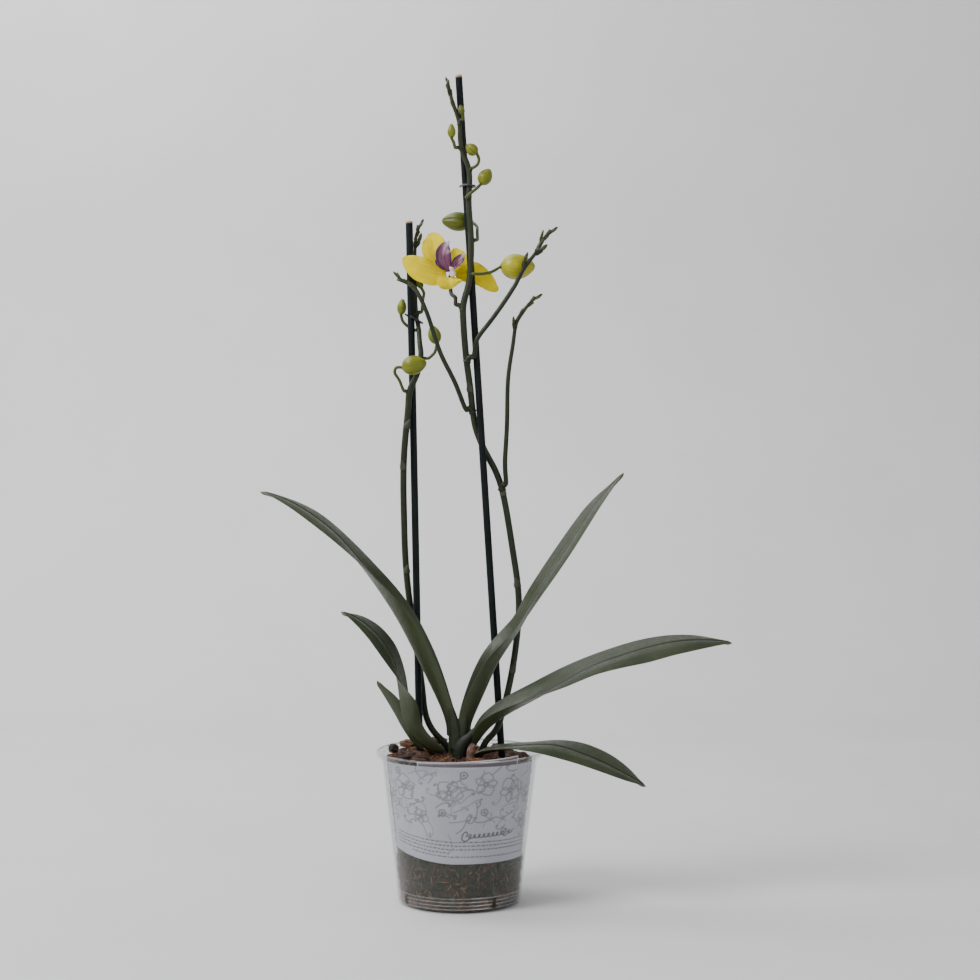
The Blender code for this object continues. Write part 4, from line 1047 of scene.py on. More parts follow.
def drawn_vine(x, y, reach, turn, bend, curl):
    """A curving stem that ends in a curl."""
    points = [(x, y)]
    step = reach / 26
    for k in range(40):
        tight = bend + curl * max(0.0, k - 16) / 10
        turn += tight * step / reach
        scale = 1.0 if k < 20 else max(0.25, 1 - (k - 20) / 26)
        x, y = x + step * scale * math.cos(turn), y + step * scale * math.sin(turn)
        points.append((x, y))
    return [np.array(points)]


# Flowers drawn on the sleeve: place across and up it, as shares, then reach in millimetres and turn.
DRAWN_FLOWERS = (
    (-0.66, 0.76, 9.6, 0.3), (-0.10, 0.74, 8.8, 1.0), (0.30, 0.82, 8.0, 0.1), (0.62, 0.74, 9.0, 0.8),
    (-0.92, 0.62, 6.0, 0.6), (0.93, 0.66, 6.0, 0.2), (-0.44, 0.47, 5.4, 0.9), (0.86, 0.40, 5.0, 0.4),
)
DRAWN_RINGS = ((-0.18, 0.53), (0.30, 0.53), (-0.74, 0.93), (0.06, 0.92))
DRAWN_VINES = 84


def sleeve_drawing(half, tall):
    """Fine lines of the sleeve's drawing: points in metres across and up it, and a width in millimetres."""
    pick = random.Random(11)
    lines = []
    for x, y, size, turn in DRAWN_FLOWERS:
        lines += [(line, 0.16) for line in drawn_flower(x * half, y * tall, size * MM, turn)]
    ring = np.linspace(0, TURN, 17)
    for x, y in DRAWN_RINGS:
        for size in (2.3, 0.6):
            wobble = 1 + 0.08 * np.cos(5 * ring)
            circle = np.stack([np.cos(ring), np.sin(ring)], axis=-1) * (size * MM * wobble)[:, None]
            lines.append((circle + (x * half, y * tall), 0.26))
    for _ in range(DRAWN_VINES):
        x, y = pick.uniform(-1, 1) * half, pick.uniform(0.30, 0.97) * tall
        reach, turn = pick.uniform(6, 19) * MM, pick.uniform(0, TURN)
        vine = drawn_vine(x, y, reach, turn, pick.uniform(-2.4, 2.4), pick.choice((-9, 9)))
        lines += [(line, pick.choice((0.06, 0.12, 0.18))) for line in vine]
    return lines


def swash_line(half, tall):
    """Loose flourish where the sleeve carries its large script."""
    t = np.linspace(0, 1, 220)
    tall_loop = 2.6 * np.exp(-(((t - 0.04) / 0.05) ** 2)) + 2.2 * np.exp(-(((t - 0.86) / 0.03) ** 2))
    swing = TURN * 11 * t
    y = tall * (0.285 + 0.02 * t) + (1.15 + tall_loop) * MM * np.sin(swing)
    x = half * (0.06 + 0.62 * t) + (1.3 + 0.5 * tall_loop) * MM * np.cos(swing) + 0.35 * (y - tall * 0.29)
    return np.stack([x, y], axis=-1)


# Where each row of dashes starts and ends, as shares of the sleeve's half width.
DASHED_ROWS = ((-0.84, 0.98), (-0.86, 0.98), (-0.86, 0.98), (-0.86, -0.10), (-0.60, 0.98))


def dashed_rows(half, tall):
    """Rows of short dashes of uneven length in place of small print."""
    pick = random.Random(5)
    rows = []
    for row, (start, stop) in enumerate(DASHED_ROWS):
        x, end = start * half, stop * half
        while x < end:
            word = pick.uniform(0.4, 2.4) * MM
            y = tall * (0.235 - 0.038 * row) - 0.6 * MM * (x / half + 0.8) + pick.uniform(-0.12, 0.12) * MM
            rows.append((np.array([(x, y), (min(x + word, end), y + pick.uniform(-0.1, 0.1) * MM)]), 0.34))
            x += word + 1.5 * MM
    return rows


def draw_on(flat, lines, smallest):
    """How much ink each point of the paper takes, from 0 to 1."""
    ink = np.zeros(len(flat))
    for line, width in lines:
        wide = max(width * MM, smallest)
        low, high = line.min(axis=0) - 2 * wide, line.max(axis=0) + 2 * wide
        near = np.flatnonzero(((flat >= low) & (flat <= high)).all(axis=1))
        if not len(near):
            continue
        spot = flat[near][:, None]
        start, way = line[:-1][None], (line[1:] - line[:-1])[None]
        share = ((spot - start) * way).sum(-1) / np.maximum((way**2).sum(-1), 1e-12)
        gap = np.linalg.norm(start + np.clip(share, 0, 1)[..., None] * way - spot, axis=-1).min(axis=1)
        strength = np.clip(1.3 - gap / wide, 0, 1) * min(1.0, 0.30 + 0.9 * width * MM / smallest)
        ink[near] = np.maximum(ink[near], strength)
    return ink


def paper_finish(name, paper, ink):
    """Pulp paper: faint fibres and blotches under a fine printed line, with painted shadow where the second
    value of the ink attribute asks for it.
    """
    made, shader, surface = material(name)
    drawn, shade, _, _ = shader.attribute("ink")
    place = shader.place()
    mottle = use(shader, MOTTLE, {"Vector": place, "Scale": 42.0})
    fibre = use(shader, GRAIN, {"Vector": place, "Scale": (900.0, 900.0, 320.0)})
    ground = shader.blend(mottle["Broad"], tint(paper, 0.93), tint(paper, 1.05))
    ground = shader.wash(ground, fibre["Lines"], 0.16, tint(paper, 0.72))
    # Painted shadow: the paper darkens where the second value of the ink attribute is set.
    ground = shader.wash(ground, shade, 0.5, tint(paper, 0.62))
    ground = shader.blend(drawn, ground, ink)
    coat(shader, surface, ground, mottle["Fine"], (0.62, 0.80), fibre["Grain"], 0.00012, 0.6)
    return made


def chunk_finish(name, pot):
    """Damp bark: each chunk its own brown, painted shade in the gaps between chunks, pale shreds, and a green
    film low down by the wall.

    Reads "chunk" (tone of the chunk, nearness to its edge, moss).
    """
    made, shader, surface = material(name)
    tone, edge, moss, _ = shader.attribute("chunk")
    place = shader.place()
    mottle = use(shader, MOTTLE, {"Vector": place, "Scale": 120.0})
    streaks = use(shader, GRAIN, {"Vector": place, "Scale": (420.0, 420.0, 90.0)})
    ground = shader.blend(tone, pot.bark_dark_and_gap_shade[:], pot.bark[:])
    ground = shader.blend(shader.ramp(tone, 0.95, 1.6), ground, (0.42, 0.24, 0.11))
    fresh = shader.ramp(tone, 0.1, 0.9, 0.05, 1.0)
    lines = shader.sum("MULTIPLY", streaks["Lines"], shader.sum("MULTIPLY", fresh, 0.45))
    ground = shader.blend(lines, ground, tint(pot.bark, 1.9))
    spots = shader.sum("MULTIPLY", mottle["Spots"], shader.sum("MULTIPLY", fresh, 0.45))
    ground = shader.blend(spots, ground, (0.46, 0.36, 0.24))
    film = shader.sum("MULTIPLY", moss, shader.ramp(mottle["Broad"], 0.0, 1.0, 0.60, 1.0))
    ground = shader.blend(film, ground, pot.moss[:])
    # Painted shade: chunks darken towards their edges, in the gaps between them.
    ground = shader.wash(ground, edge, 0.75, tint(pot.bark_dark_and_gap_shade, 0.5))
    height = shader.sum("ADD", streaks["Grain"], mottle["Fine"])
    coat(shader, surface, ground, mottle["Fine"], (0.60, 0.90), height, 0.0012, 0.9)
    return made


def chunk_at(point, size):
    """(nearness to an edge, tone) of the bark chunk at a point."""
    spread = Vector((point[0] / size, point[1] / size, point[2] / (0.62 * size)))
    bend = noise.noise_vector(spread * 1.3) * 0.35
    distances, cells = noise.voronoi(spread + bend)
    tone = noise.cell(cells[0] * 7.3 + Vector((0.31, 0.17, 0.53)))
    gap = distances[1] - distances[0]
    edge = max(0.0, 1.0 - gap / 0.16)
    return edge, tone * 0.5 + 0.5


def bark_top(x, y):
    """Top of the bark: a mound at the back left and a hollow at the right. Millimetres in, metres out."""
    mound = 5.5 * math.exp(-((x + 22) ** 2 + (y - 30) ** 2) / 420)
    hollow = 7.0 * math.exp(-((x - 39) ** 2 + (y + 2) ** 2) / 240)
    ripple = 0.7 * math.sin(0.23 * x + 0.6) * math.cos(0.19 * y)
    return POT_HEIGHT + (mound - hollow + ripple - 4.5) * MM


def bark_wall(z):
    """Outside of the bark: against the plastic low down, and inside the papers above."""
    gap = 0.3 + 1.4 * min(max((z / MM - 32.0) / 1.5, 0.0), 1.0)
    return wall_radius(z) - WALL - gap * MM


def moss_at(point):
    """How much moss the bark carries at a point: a broad band, a faint one below it, both patchy."""
    height = point[2] / MM
    band = math.exp(-(((height - 27.0) / 10.0) ** 2)) + 0.25 * math.exp(-(((height - 12.0) / 9.0) ** 2))
    patch = 0.5 + 0.9 * noise.noise(Vector(point) * 55)
    return min(1.0, max(0.0, band * (1.6 * patch + 1.1)))


def bark_body(finish):
    """Packed bark as one lumpy body, with its chunks' tones, gaps and moss."""
    around = 220
    edge_top = POT_HEIGHT - 6.0 * MM
    edge = bark_wall(edge_top)
    heights = np.linspace(2.6 * MM, edge_top, 74)
    levels = [(share * bark_wall(2.6 * MM), 1.5 * MM, False) for share in (0.5, 0.85, 0.97)]
    levels += [(bark_wall(z), z, False) for z in heights]
    levels += [(edge * share, None, True) for share in np.linspace(0.985, 0.03, 34)]
    rings, chunks = [], []
    for radius, height, on_top in levels:
        ring, tones = [], []
        for k in range(around):
            turn = TURN * k / around
            x, y = radius * math.cos(turn), radius * math.sin(turn)
            z = bark_top(x / MM, y / MM) if on_top else height
            crack, tone = chunk_at((x, y, z), (8.5 if on_top else 4.2) * MM)
            rough = noise.noise(Vector((x, y, z)) * 420)
            if on_top:
                fade = min(1.0, (edge - radius) / (2.5 * MM))
                z += (2.6 * (tone - 0.6) - 3.0 * crack + 0.9 * rough) * MM * fade - 0.6 * MM
            else:
                deep = min(1.0, max(0.0, (z - 2 * MM) / (3 * MM)))
                push = (1.2 * (1 - tone) + 1.3 * crack + 0.5 * (1 + rough)) * MM * deep
                x, y = (radius - push) * math.cos(turn), (radius - push) * math.sin(turn)
            ring.append((x, y, z))
            tones.append((tone * (0.5 if on_top else 0.8), crack, moss_at((x, y, z))))
        rings.append(ring)
        chunks.append(tones)
    rings = np.array([[(0, 0, 1.5 * MM)] * around, *rings, [(0, 0, bark_top(0, 0))] * around])
    chunks = np.array([chunks[0], *chunks, chunks[-1]])
    return skin_with("bark_packed", rings, finish, chunk=chunks)


def shred(name, length, wide, thick, bend):
    """Short tapered strand lying along X, a few dozen faces."""
    rings = []
    for share in np.linspace(0, 1, 6):
        half = wide / 2 * (0.25 + 0.75 * math.sin(math.pi * min(0.95, share + 0.12)) ** 0.6)
        tall = thick / 2 * (0.4 + 0.6 * math.sin(math.pi * share))
        x = (share - 0.5) * length
        y, z = bend * math.sin(2.6 * share), 0.6 * bend * math.sin(3.3 * share + 0.4)
        rings.append([(x, y - half, z), (x, y, z + tall), (x, y + half, z), (x, y - 0.2 * half, z - tall)])
    return skin(name, with_poles(np.array(rings)), None)


def crumb(name, size, seed):
    """Small broken chunk of a few dozen faces."""
    shape = bmesh.new()
    bmesh.ops.create_icosphere(shape, subdivisions=2, radius=0.5)
    for vert in shape.verts:
        way = vert.co.normalized()
        blunt = 1.0 / max(abs(way.x), abs(way.y), abs(way.z)) ** 0.8
        uneven = 1 + 0.55 * noise.noise(way * 1.9 + Vector((seed, 0, 0)))
        vert.co = Vector((way.x * size[0], way.y * size[1], way.z * size[2])) * 0.5 * blunt * uneven
    mesh = bpy.data.meshes.new(name)
    shape.to_mesh(mesh)
    shape.free()
    return new_object(name, mesh)


SCATTER_INPUTS = (
    ("Shape", "NodeSocketObject"),
    ("Density", "NodeSocketFloat"),
    ("Seed", "NodeSocketInt"),
    ("Smallest", "NodeSocketFloat"),
    ("Largest", "NodeSocketFloat"),
    ("Tilt", "NodeSocketVector"),
    ("Tone low", "NodeSocketVector"),
    ("Tone high", "NodeSocketVector"),
    ("Material", "NodeSocketMaterial"),
)


def scatter_tree():
    """Geometry nodes that strew a shape over faces, each copy turned, sized and toned at random."""
    tree = bpy.data.node_groups.new("Strewn pieces", "GeometryNodeTree")
    tree.interface.new_socket(name="Geometry", in_out="INPUT", socket_type="NodeSocketGeometry")
    for label, kind in SCATTER_INPUTS:
        tree.interface.new_socket(name=label, in_out="INPUT", socket_type=kind)
    tree.interface.new_socket(name="Geometry", in_out="OUTPUT", socket_type="NodeSocketGeometry")
    nodes = Shader(tree)
    given = tree.nodes.new("NodeGroupInput").outputs
    spots = nodes.add(
        "GeometryNodeDistributePointsOnFaces",
        {"Mesh": given["Geometry"], "Density": given["Density"], "Seed": given["Seed"]},
    )
    turned = nodes.add("FunctionNodeRandomValue", {"Seed": given["Seed"]}, data_type="FLOAT_VECTOR")
    low = nodes.add("ShaderNodeVectorMath", {0: given["Tilt"], 1: (-1.0, -1.0, -1.0)}, operation="MULTIPLY")
    nodes.feed(turned.inputs["Min"], low.outputs[0])
    nodes.feed(turned.inputs["Max"], given["Tilt"])
    angles = nodes.add("FunctionNodeEulerToRotation", {0: turned.outputs["Value"]}).outputs[0]
    lying = nodes.add(
        "FunctionNodeRotateRotation", {"Rotation": spots.outputs["Rotation"], "Rotate By": angles}
    )
    lying.rotation_space = "LOCAL"
    sized = nodes.add("FunctionNodeRandomValue", {"Seed": given["Seed"]}, data_type="FLOAT")
    floats = [socket for socket in sized.inputs if socket.type == "VALUE" and socket.name in ("Min", "Max")]
    nodes.feed(floats[0], given["Smallest"])
    nodes.feed(floats[1], given["Largest"])
    size = [socket for socket in sized.outputs if socket.type == "VALUE"][0]
    shape = nodes.add("GeometryNodeObjectInfo", {"Object": given["Shape"]})
    strewn = nodes.add(
        "GeometryNodeInstanceOnPoints",
        {
            "Points": spots.outputs["Points"],
            "Instance": shape.outputs["Geometry"],
            "Rotation": lying.outputs[0],
            "Scale": size,
        },
    )
    tone = nodes.add("FunctionNodeRandomValue", {"Seed": 7}, data_type="FLOAT_VECTOR")
    nodes.feed(tone.inputs["Min"], given["Tone low"])
    nodes.feed(tone.inputs["Max"], given["Tone high"])
    kept = nodes.add("GeometryNodeStoreNamedAttribute", data_type="FLOAT_VECTOR", domain="INSTANCE")
    nodes.feed(kept.inputs["Geometry"], strewn.outputs[0])
    kept.inputs["Name"].default_value = "chunk"
    nodes.feed(kept.inputs["Value"], tone.outputs["Value"])
    real = nodes.add("GeometryNodeRealizeInstances", {"Geometry": kept.outputs[0]})
    done = nodes.add("GeometryNodeSetMaterial", {"Geometry": real.outputs[0], "Material": given["Material"]})
    result = tree.nodes.new("NodeGroupOutput")
    nodes.feed(result.inputs[0], done.outputs[0])
    return tree


def strew(name, faces_of, keep, shape, tree, finish, **values):
    """Strews shape over the faces of a piece that keep() chooses. Returns the new piece."""
    bed = bmesh.new()
    bed.from_mesh(faces_of.data)
    spare = [face for face in bed.faces if not keep(face.calc_center_median(), face.normal)]
    bmesh.ops.delete(bed, geom=spare, context="FACES")
    mesh = bpy.data.meshes.new(name)
    bed.to_mesh(mesh)
    bed.free()
    made = new_object(name, mesh)
    change = made.modifiers.new("strewn", "NODES")
    change.node_group = tree
    known = {item.name: item.identifier for item in tree.interface.items_tree if item.in_out == "INPUT"}
    for label, value in {"Shape": shape, "Material": finish, **values}.items():
        change[known[label]] = value
    flatten(made)
    bpy.data.objects.remove(shape)
    if not len(made.data.polygons):
        raise RuntimeError(f"nothing was strewn for {name}")
    return made


# ---------------------------------------------------------------- operators


class ORCHID_OT_pot(bpy.types.Operator):
    """Turn the clear pot and cut its drain slots"""

    bl_idname = "orchid.pot"
    bl_label = "Clear pot"

    def execute(self, context):
        finish = plastic_finish("Clear plastic", context.scene.orchid_pot.plastic)
        pot = revolve("pot_clear_wall", pot_profile(), 144, finish)
        cut_slots(pot)
        for face in pot.data.polygons:
            face.use_smooth = True
        pot.data.set_sharp_from_angle(angle=math.radians(38))
        belongs(pot, "clear_plastic", "clear_pot")
        return {"FINISHED"}


class ORCHID_OT_papers(bpy.types.Operator):
    """Curve the printed sleeve and the dark card inside the wall"""

    bl_idname = "orchid.papers"
    bl_label = "Sleeve and card"

    def execute(self, context):
        pot = context.scene.orchid_pot
        finish = paper_finish("Printed paper", pot.paper[:], pot.ink[:])
        spacing = 0.46 * MM
        sleeve, flat, tall = paper_sheet("sleeve_printed", "printed_sleeve", finish, spacing)
        half = flat[:, 0].max()
        lines = sleeve_drawing(half, tall) + dashed_rows(half, tall) + [(swash_line(half, tall), 0.5)]
        front = len(flat) // 2
        ink = np.zeros((len(flat), 3))
        ink[:front, 0] = draw_on(flat[:front], lines, spacing)
        # Painted shadow in a narrow band near the sleeve's left edge.
        ink[:, 1] = np.clip(np.exp(-(((flat[:, 0] + 0.93 * half) / (1.4 * MM)) ** 2)), 0, 1) * 0.5
        give(sleeve, "ink", ink)
        belongs(sleeve, "sleeve_paper", "printed_sleeve")
        face = paper_finish("Card", pot.card[:], (0.60, 0.58, 0.60))
        card, flat, tall = paper_sheet("card_dark", "care_card", face, 0.8 * MM)
        half = flat[:, 0].max()
        near = np.minimum(half - flat[:, 0], tall - flat[:, 1])
        near = np.minimum(near, flat[:, 0] - flat[:, 0].min())
        border = np.clip(1.4 - near / (0.7 * MM), 0, 1)
        give(card, "ink", np.stack([border, 0 * border, 0 * border], axis=-1))
        belongs(card, "card", "care_card")
        return {"FINISHED"}


class ORCHID_OT_bark(bpy.types.Operator):
    """Pack the pot with bark, strew it with shreds and break up the chips on top"""

    bl_idname = "orchid.bark"
    bl_label = "Bark"

    def execute(self, context):
        pot = context.scene.orchid_pot
        finish = chunk_finish("Damp bark", pot)
        body = bark_body(finish)
        tree = scatter_tree()
        roll = (0.5, 0.55, math.pi)
        reach = (RIM_RADIUS - 12 * MM) ** 2

        def upper(place, normal):
            return normal.z > 0.3 and place.z > POT_HEIGHT - 16 * MM and place.x**2 + place.y**2 < reach

        def lower(place, normal):
            return math.hypot(normal.x, normal.y) > 0.5 and 4 * MM < place.z < 40 * MM

        strands = strew(
            "bark_strands", body, upper, shred("strand", pot.strand_length, 1.1 * MM, 0.6 * MM, 1.4 * MM),
            tree, finish, Density=pot.strand_density, Seed=3, Smallest=0.35, Largest=1.1,
            Tilt=roll, **{"Tone low": (0.1, 0.0, 0.0), "Tone high": (1.5, 0.2, 0.0)},
        )
        pieces = strew(
            "bark_pieces", body, upper, crumb("piece", (9.0 * MM, 3.4 * MM, 2.4 * MM), 4),
            tree, finish, Density=2600.0, Seed=8, Smallest=0.5, Largest=1.1,
            Tilt=(0.8, 0.5, math.pi), **{"Tone low": (0.05, 0.0, 0.0), "Tone high": (0.75, 0.3, 0.0)},
        )
        fibres = strew(
            "bark_fibres", body, lower, shred("fibre", 5 * MM, 0.55 * MM, 0.35 * MM, 0.5 * MM),
            tree, finish, Density=pot.fibre_density, Seed=5, Smallest=0.4, Largest=1.2,
            Tilt=(0.1, 0.1, math.pi), **{"Tone low": (0.2, 0.0, 0.0), "Tone high": (1.7, 0.3, 0.9)},
        )
        belongs(body, "bark_mix", "potting_bark")
        for made in (strands, pieces, fibres):
            belongs(made, "bark")
        for k in range(1, 10):
            self.break_up(f"bark_chip_{k}", finish, k)
        return {"FINISHED"}

    def break_up(self, node, finish, seed):
        shape = welded(node)
        bmesh.ops.subdivide_edges(shape, edges=shape.edges, cuts=5, use_grid_fill=True)
        pick = random.Random(seed)
        shift = Vector((pick.uniform(-9, 9), pick.uniform(-9, 9), pick.uniform(-9, 9)))
        for vert in shape.verts:
            layers = math.sin(vert.co.z * 2600 + 3 * noise.noise(vert.co * 160 + shift))
            inward = 0.45 + 0.35 * layers + 0.9 * noise.noise(vert.co * 310 + shift)
            vert.co -= vert.normal * inward * 0.6 * MM
        mesh = bpy.data.meshes.new(node + "_broken")
        shape.to_mesh(mesh)
        shape.free()
        mesh.materials.append(finish)
        made = new_object(node + "_broken", mesh)
        tone = pick.uniform(0.05, 0.45) if seed > 1 else 0.0
        give(made, "chunk", [(tone + 0.1 * noise.noise(v.co * 200), 0.0, 0.0) for v in mesh.vertices])
        belongs(made, "bark", node)


LEAVES = ("upper_left", "upper_right", "middle_left", "middle_right", "lower_left", "lower_right")
TEPALS = ("petal_left", "petal_right", "sepal_upper_left", "sepal_upper_right", "sepal_bottom")
STEMS = (
    "spike_left", "spike_right", "branch_left", "branch_upper_right", "branch_lower_right", "flower_stalk",
)
# Each stalk or branch, and the stem that it leaves.
HOSTS = (
    *((f"bud_right_{k}", "spike_right") for k in range(1, 7)),
    *((f"bud_left_{k}", "spike_left") for k in range(1, 4)),
    ("bud_behind_petal", "spike_left"),
    ("tip_bud_right", "spike_right"),
    ("tip_bud_left", "spike_left"),
    *((f"tip_bud_branch_{k}", "branch_upper_right") for k in range(1, 4)),
    ("tip_bud_lower_branch", "branch_lower_right"),
    ("branch_left", "spike_right"),
    ("branch_upper_right", "spike_right"),
    ("branch_lower_right", "spike_right"),
    ("flower_stalk", "spike_right"),
)
TIPS = ("right", "left", "branch_1", "branch_2", "branch_3", "lower_branch")


FRONT = (0.0, -1.0, 0.0)
# Leaf bases that clasp the crown: name, facing, then rows of x, y, height above the rim, half width and
# how far the margins rise, which is below 0 where they wrap back, in millimetres.
SHEATHS = (
    ("sheath_upper_left", FRONT, (
        (-2.0, -3.6, -9, 5.8, -3.4), (-2.2, -4.6, 0, 5.8, -3.4), (-2.6, -4.9, 8, 5.4, -3.0),
        (-3.4, -5.0, 15, 4.6, -2.6), (-4.6, -4.9, 22, 3.7, -2.0), (-5.9, -4.6, 28, 2.9, -1.4),
        (-7.4, -4.0, 34, 1.9, -0.8), (-8.8, -3.2, 39, 0.3, 0.0),
    )),
    ("sheath_upper_right", FRONT, (
        (1.6, -3.0, -9, 5.6, -3.4), (2.0, -3.8, 2, 5.6, -3.4), (2.6, -4.0, 11, 5.2, -3.0),
        (3.0, -4.2, 18, 4.2, -2.4), (3.5, -4.3, 24, 3.8, -2.0), (4.6, -4.2, 30, 3.2, -1.4),
        (6.0, -3.8, 36, 2.0, -0.8), (7.4, -3.2, 41, 0.3, 0.0),
    )),
    ("sheath_middle_right", FRONT, (
        (0.4, -5.4, -10, 6.8, -3.8), (0.8, -6.6, -4, 7.0, -3.8), (1.8, -7.4, 2, 6.4, -3.4),
        (4.2, -7.9, 7, 4.8, -2.6), (7.4, -8.2, 10.5, 3.4, -1.8), (10.6, -8.6, 14.5, 2.4, -1.2),
        (13.4, -9.2, 18.5, 0.4, 0.0),
    )),
    ("sheath_back", (0.0, 1.0, 0.0), (
        (0.2, 4.2, -9, 6.8, -3.6), (0.2, 5.0, 0, 6.6, -3.6), (0.0, 5.0, 9, 5.6, -3.0),
        (-0.4, 4.4, 14, 4.2, -2.2), (-0.6, 3.6, 18, 2.4, -1.2), (-0.8, 3.0, 21, 0.3, 0.0),
    )),
)


class ORCHID_OT_leaves(bpy.types.Operator):
    """Grow the six strap leaves"""

    bl_idname = "orchid.leaves"
    bl_label = "Leaves"

    def execute(self, context):
        finish = leaf_finish("Leaf", context.scene.orchid_plant)
        for side in LEAVES:
            node = "leaf_" + side
            rings = blade_rings(node, CROWN_MIDDLE, (0, 0, 1))
            belongs(grow_blade(node + "_blade", rings, finish, crease=0.6 * MM), "leaf", node)
        return {"FINISHED"}


class ORCHID_OT_crown(bpy.types.Operator):
    """Wrap the crown in old sheaths, and dry the stump beside it and the roots below"""

    bl_idname = "orchid.crown"
    bl_label = "Crown and roots"

    def execute(self, context):
        plant = context.scene.orchid_plant
        dark = tint(plant.leaf_base, 0.25)
        sheath = stem_finish("Old sheath", dark, (0.045, 0.040, 0.020), 0.2)

        def steps(distance):
            return 0.07 * (1 - (distance / (9 * MM)) % 1.0) - 0.03

        rings = stem_rings("crown", 12)
        belongs(grow_stem("crown_sheaths", rings, sheath, 4, 6, steps), "leaf_sheath", "crown")
        fresh = leaf_like("Leaf sheath", tint(plant.leaf_base, 1.4), tint(plant.leaf_base, 0.5))
        old = leaf_like("Outer sheath", tint(plant.leaf_base, 0.55), tint(plant.leaf_base, 0.25))
        for name, facing, rows in SHEATHS:
            stations = []
            for x, y, height, half, rise in rows:
                stations.append((Vector((x * MM, y * MM, POT_HEIGHT + height * MM)), half * MM, rise * MM))
            worn = fresh if "upper" in name else old
            belongs(thin_blade(name, stations, facing, 1.2 * MM, worn, columns=17), "leaf_sheath")
        dry = speckled_finish("Dried stem", (0.085, 0.040, 0.030), (0.26, 0.14, 0.11), 160.0)

        def shrunk(distance):
            return 0.05 * math.sin(distance * 2100) * math.sin(distance * 900)

        rings = stem_rings("old_stem_stump", 8)
        belongs(grow_stem("stump_dried", rings, dry, 4, 6, shrunk), "dry_stem", "old_stem_stump")
        root = speckled_finish("Root", (0.035, 0.045, 0.020), (0.085, 0.090, 0.045), 110.0, relief=0.0004)

        def knobbly(distance):
            return 0.06 * math.sin(distance * 420) + 0.04 * math.sin(distance * 950 + 1)

        for k in range(1, 6):
            rings = stem_rings(f"root_{k}", 6)
            belongs(grow_stem(f"root_{k}_skin", rings, root, 4, 4, knobbly), "root", f"root_{k}")
        return {"FINISHED"}


class ORCHID_OT_stems(bpy.types.Operator):
    """Grow the flower spikes, their branches and the small sheaths at their joints"""

    bl_idname = "orchid.stems"
    bl_label = "Flower spikes"

    def execute(self, context):
        stem = context.scene.orchid_plant.stem
        finish = stem_finish("Spike", stem, (0.030, 0.034, 0.011))
        bract = leaf_like("Bract", (0.034, 0.036, 0.014), (0.014, 0.018, 0.006))
        rings = {}
        for node in STEMS:
            rings[node] = stem_rings(node, 8)
            belongs(grow_stem(node + "_skin", rings[node], finish), "stem", node)
        scale = leaf_like("Scale bud", tint(context.scene.orchid_plant.bud, 0.40), tint(stem, 1.1))
        for node in STEMS[:-1]:
            for piece in grow_scales(node, rings[node], scale):
                belongs(piece, "bud")
        for guest, host in HOSTS:
            stalk = rings[guest] if guest in rings else rings_of(guest, 6 if guest.startswith("tip") else 8)
            made = grow_knuckle(guest + "_knuckle", stalk, rings[host], finish)
            if made:
                belongs(made, "stem")
        for number, (node, height, toward, tall) in enumerate(BRACTS, 1):
            level = POT_HEIGHT + height * MM
            made = grow_bract(f"bract_{number}", rings[node], level, toward, tall * MM, bract)
            belongs(made, "stem")
        return {"FINISHED"}


# Scale buds: how far back from a stem's end each sits, in millimetres, and how one widens along itself.
SCALE_PLACES = (21.0, 16.5, 12.0, 8.0, 4.5, 1.5)
SCALE_OUTLINE = ((0.0, 0.45), (0.25, 1.0), (0.6, 0.9), (0.88, 0.45), (1.0, 0.05))
SCALE_LENGTH = 3.6
SCALE_STEP = 1.5 * MM


def grow_scales(node, rings, finish):
    """Closed scale buds packed alternately along the last of a stem. Returns the pieces."""
    middles = rings[1:-1].mean(axis=1)
    span = lengths_along(rings[1:-1])

    def middle_at(distance):
        return Vector([np.interp(distance, span, middles[:, axis]) for axis in range(3)])

    made = []
    for k, back in enumerate(SCALE_PLACES):
        start = span[-1] - back * MM
        place = middle_at(start)
        along = (middle_at(start + SCALE_STEP) - place).normalized()
        turn = 0.6 + 2.4 * k
        side = along.cross(Vector((math.cos(turn), math.sin(turn), 0.3))).normalized()
        size = (1.50 - 0.10 * k) * MM
        rows = []
        for share, half in SCALE_OUTLINE:
            middle = place + side * (0.55 + 0.7 * share) * size + along * share * (SCALE_LENGTH * size)
            rows.append((middle, half * size, -0.55 * half * size))
        name = f"{node}_scale_{k + 1}"
        made.append(thin_blade(name, rows, side, 1.5 * size, finish, columns=9, steps=3))
    return made


KNUCKLE_REACH = 12 * MM
KNUCKLE_SINK = 1.2 * MM
KNUCKLE_OVERLAP = 0.8 * MM
KNUCKLE_SIDES = 10
STEM_SAMPLES = 400


def nearer_end(guest, line):
    """The guest's end nearer the line: gap, place on the line, first point, one further in, radius."""
    ends = []
    for rings in (guest, guest[::-1]):
        base, after = rings[1].mean(axis=0), rings[3].mean(axis=0)
        radius = np.linalg.norm(rings[2] - rings[2].mean(axis=0), axis=1).mean()
        gaps = np.linalg.norm(line - base, axis=1)
        ends.append((gaps.min(), gaps.argmin(), base, after, radius))
    return min(ends, key=lambda end: end[0])


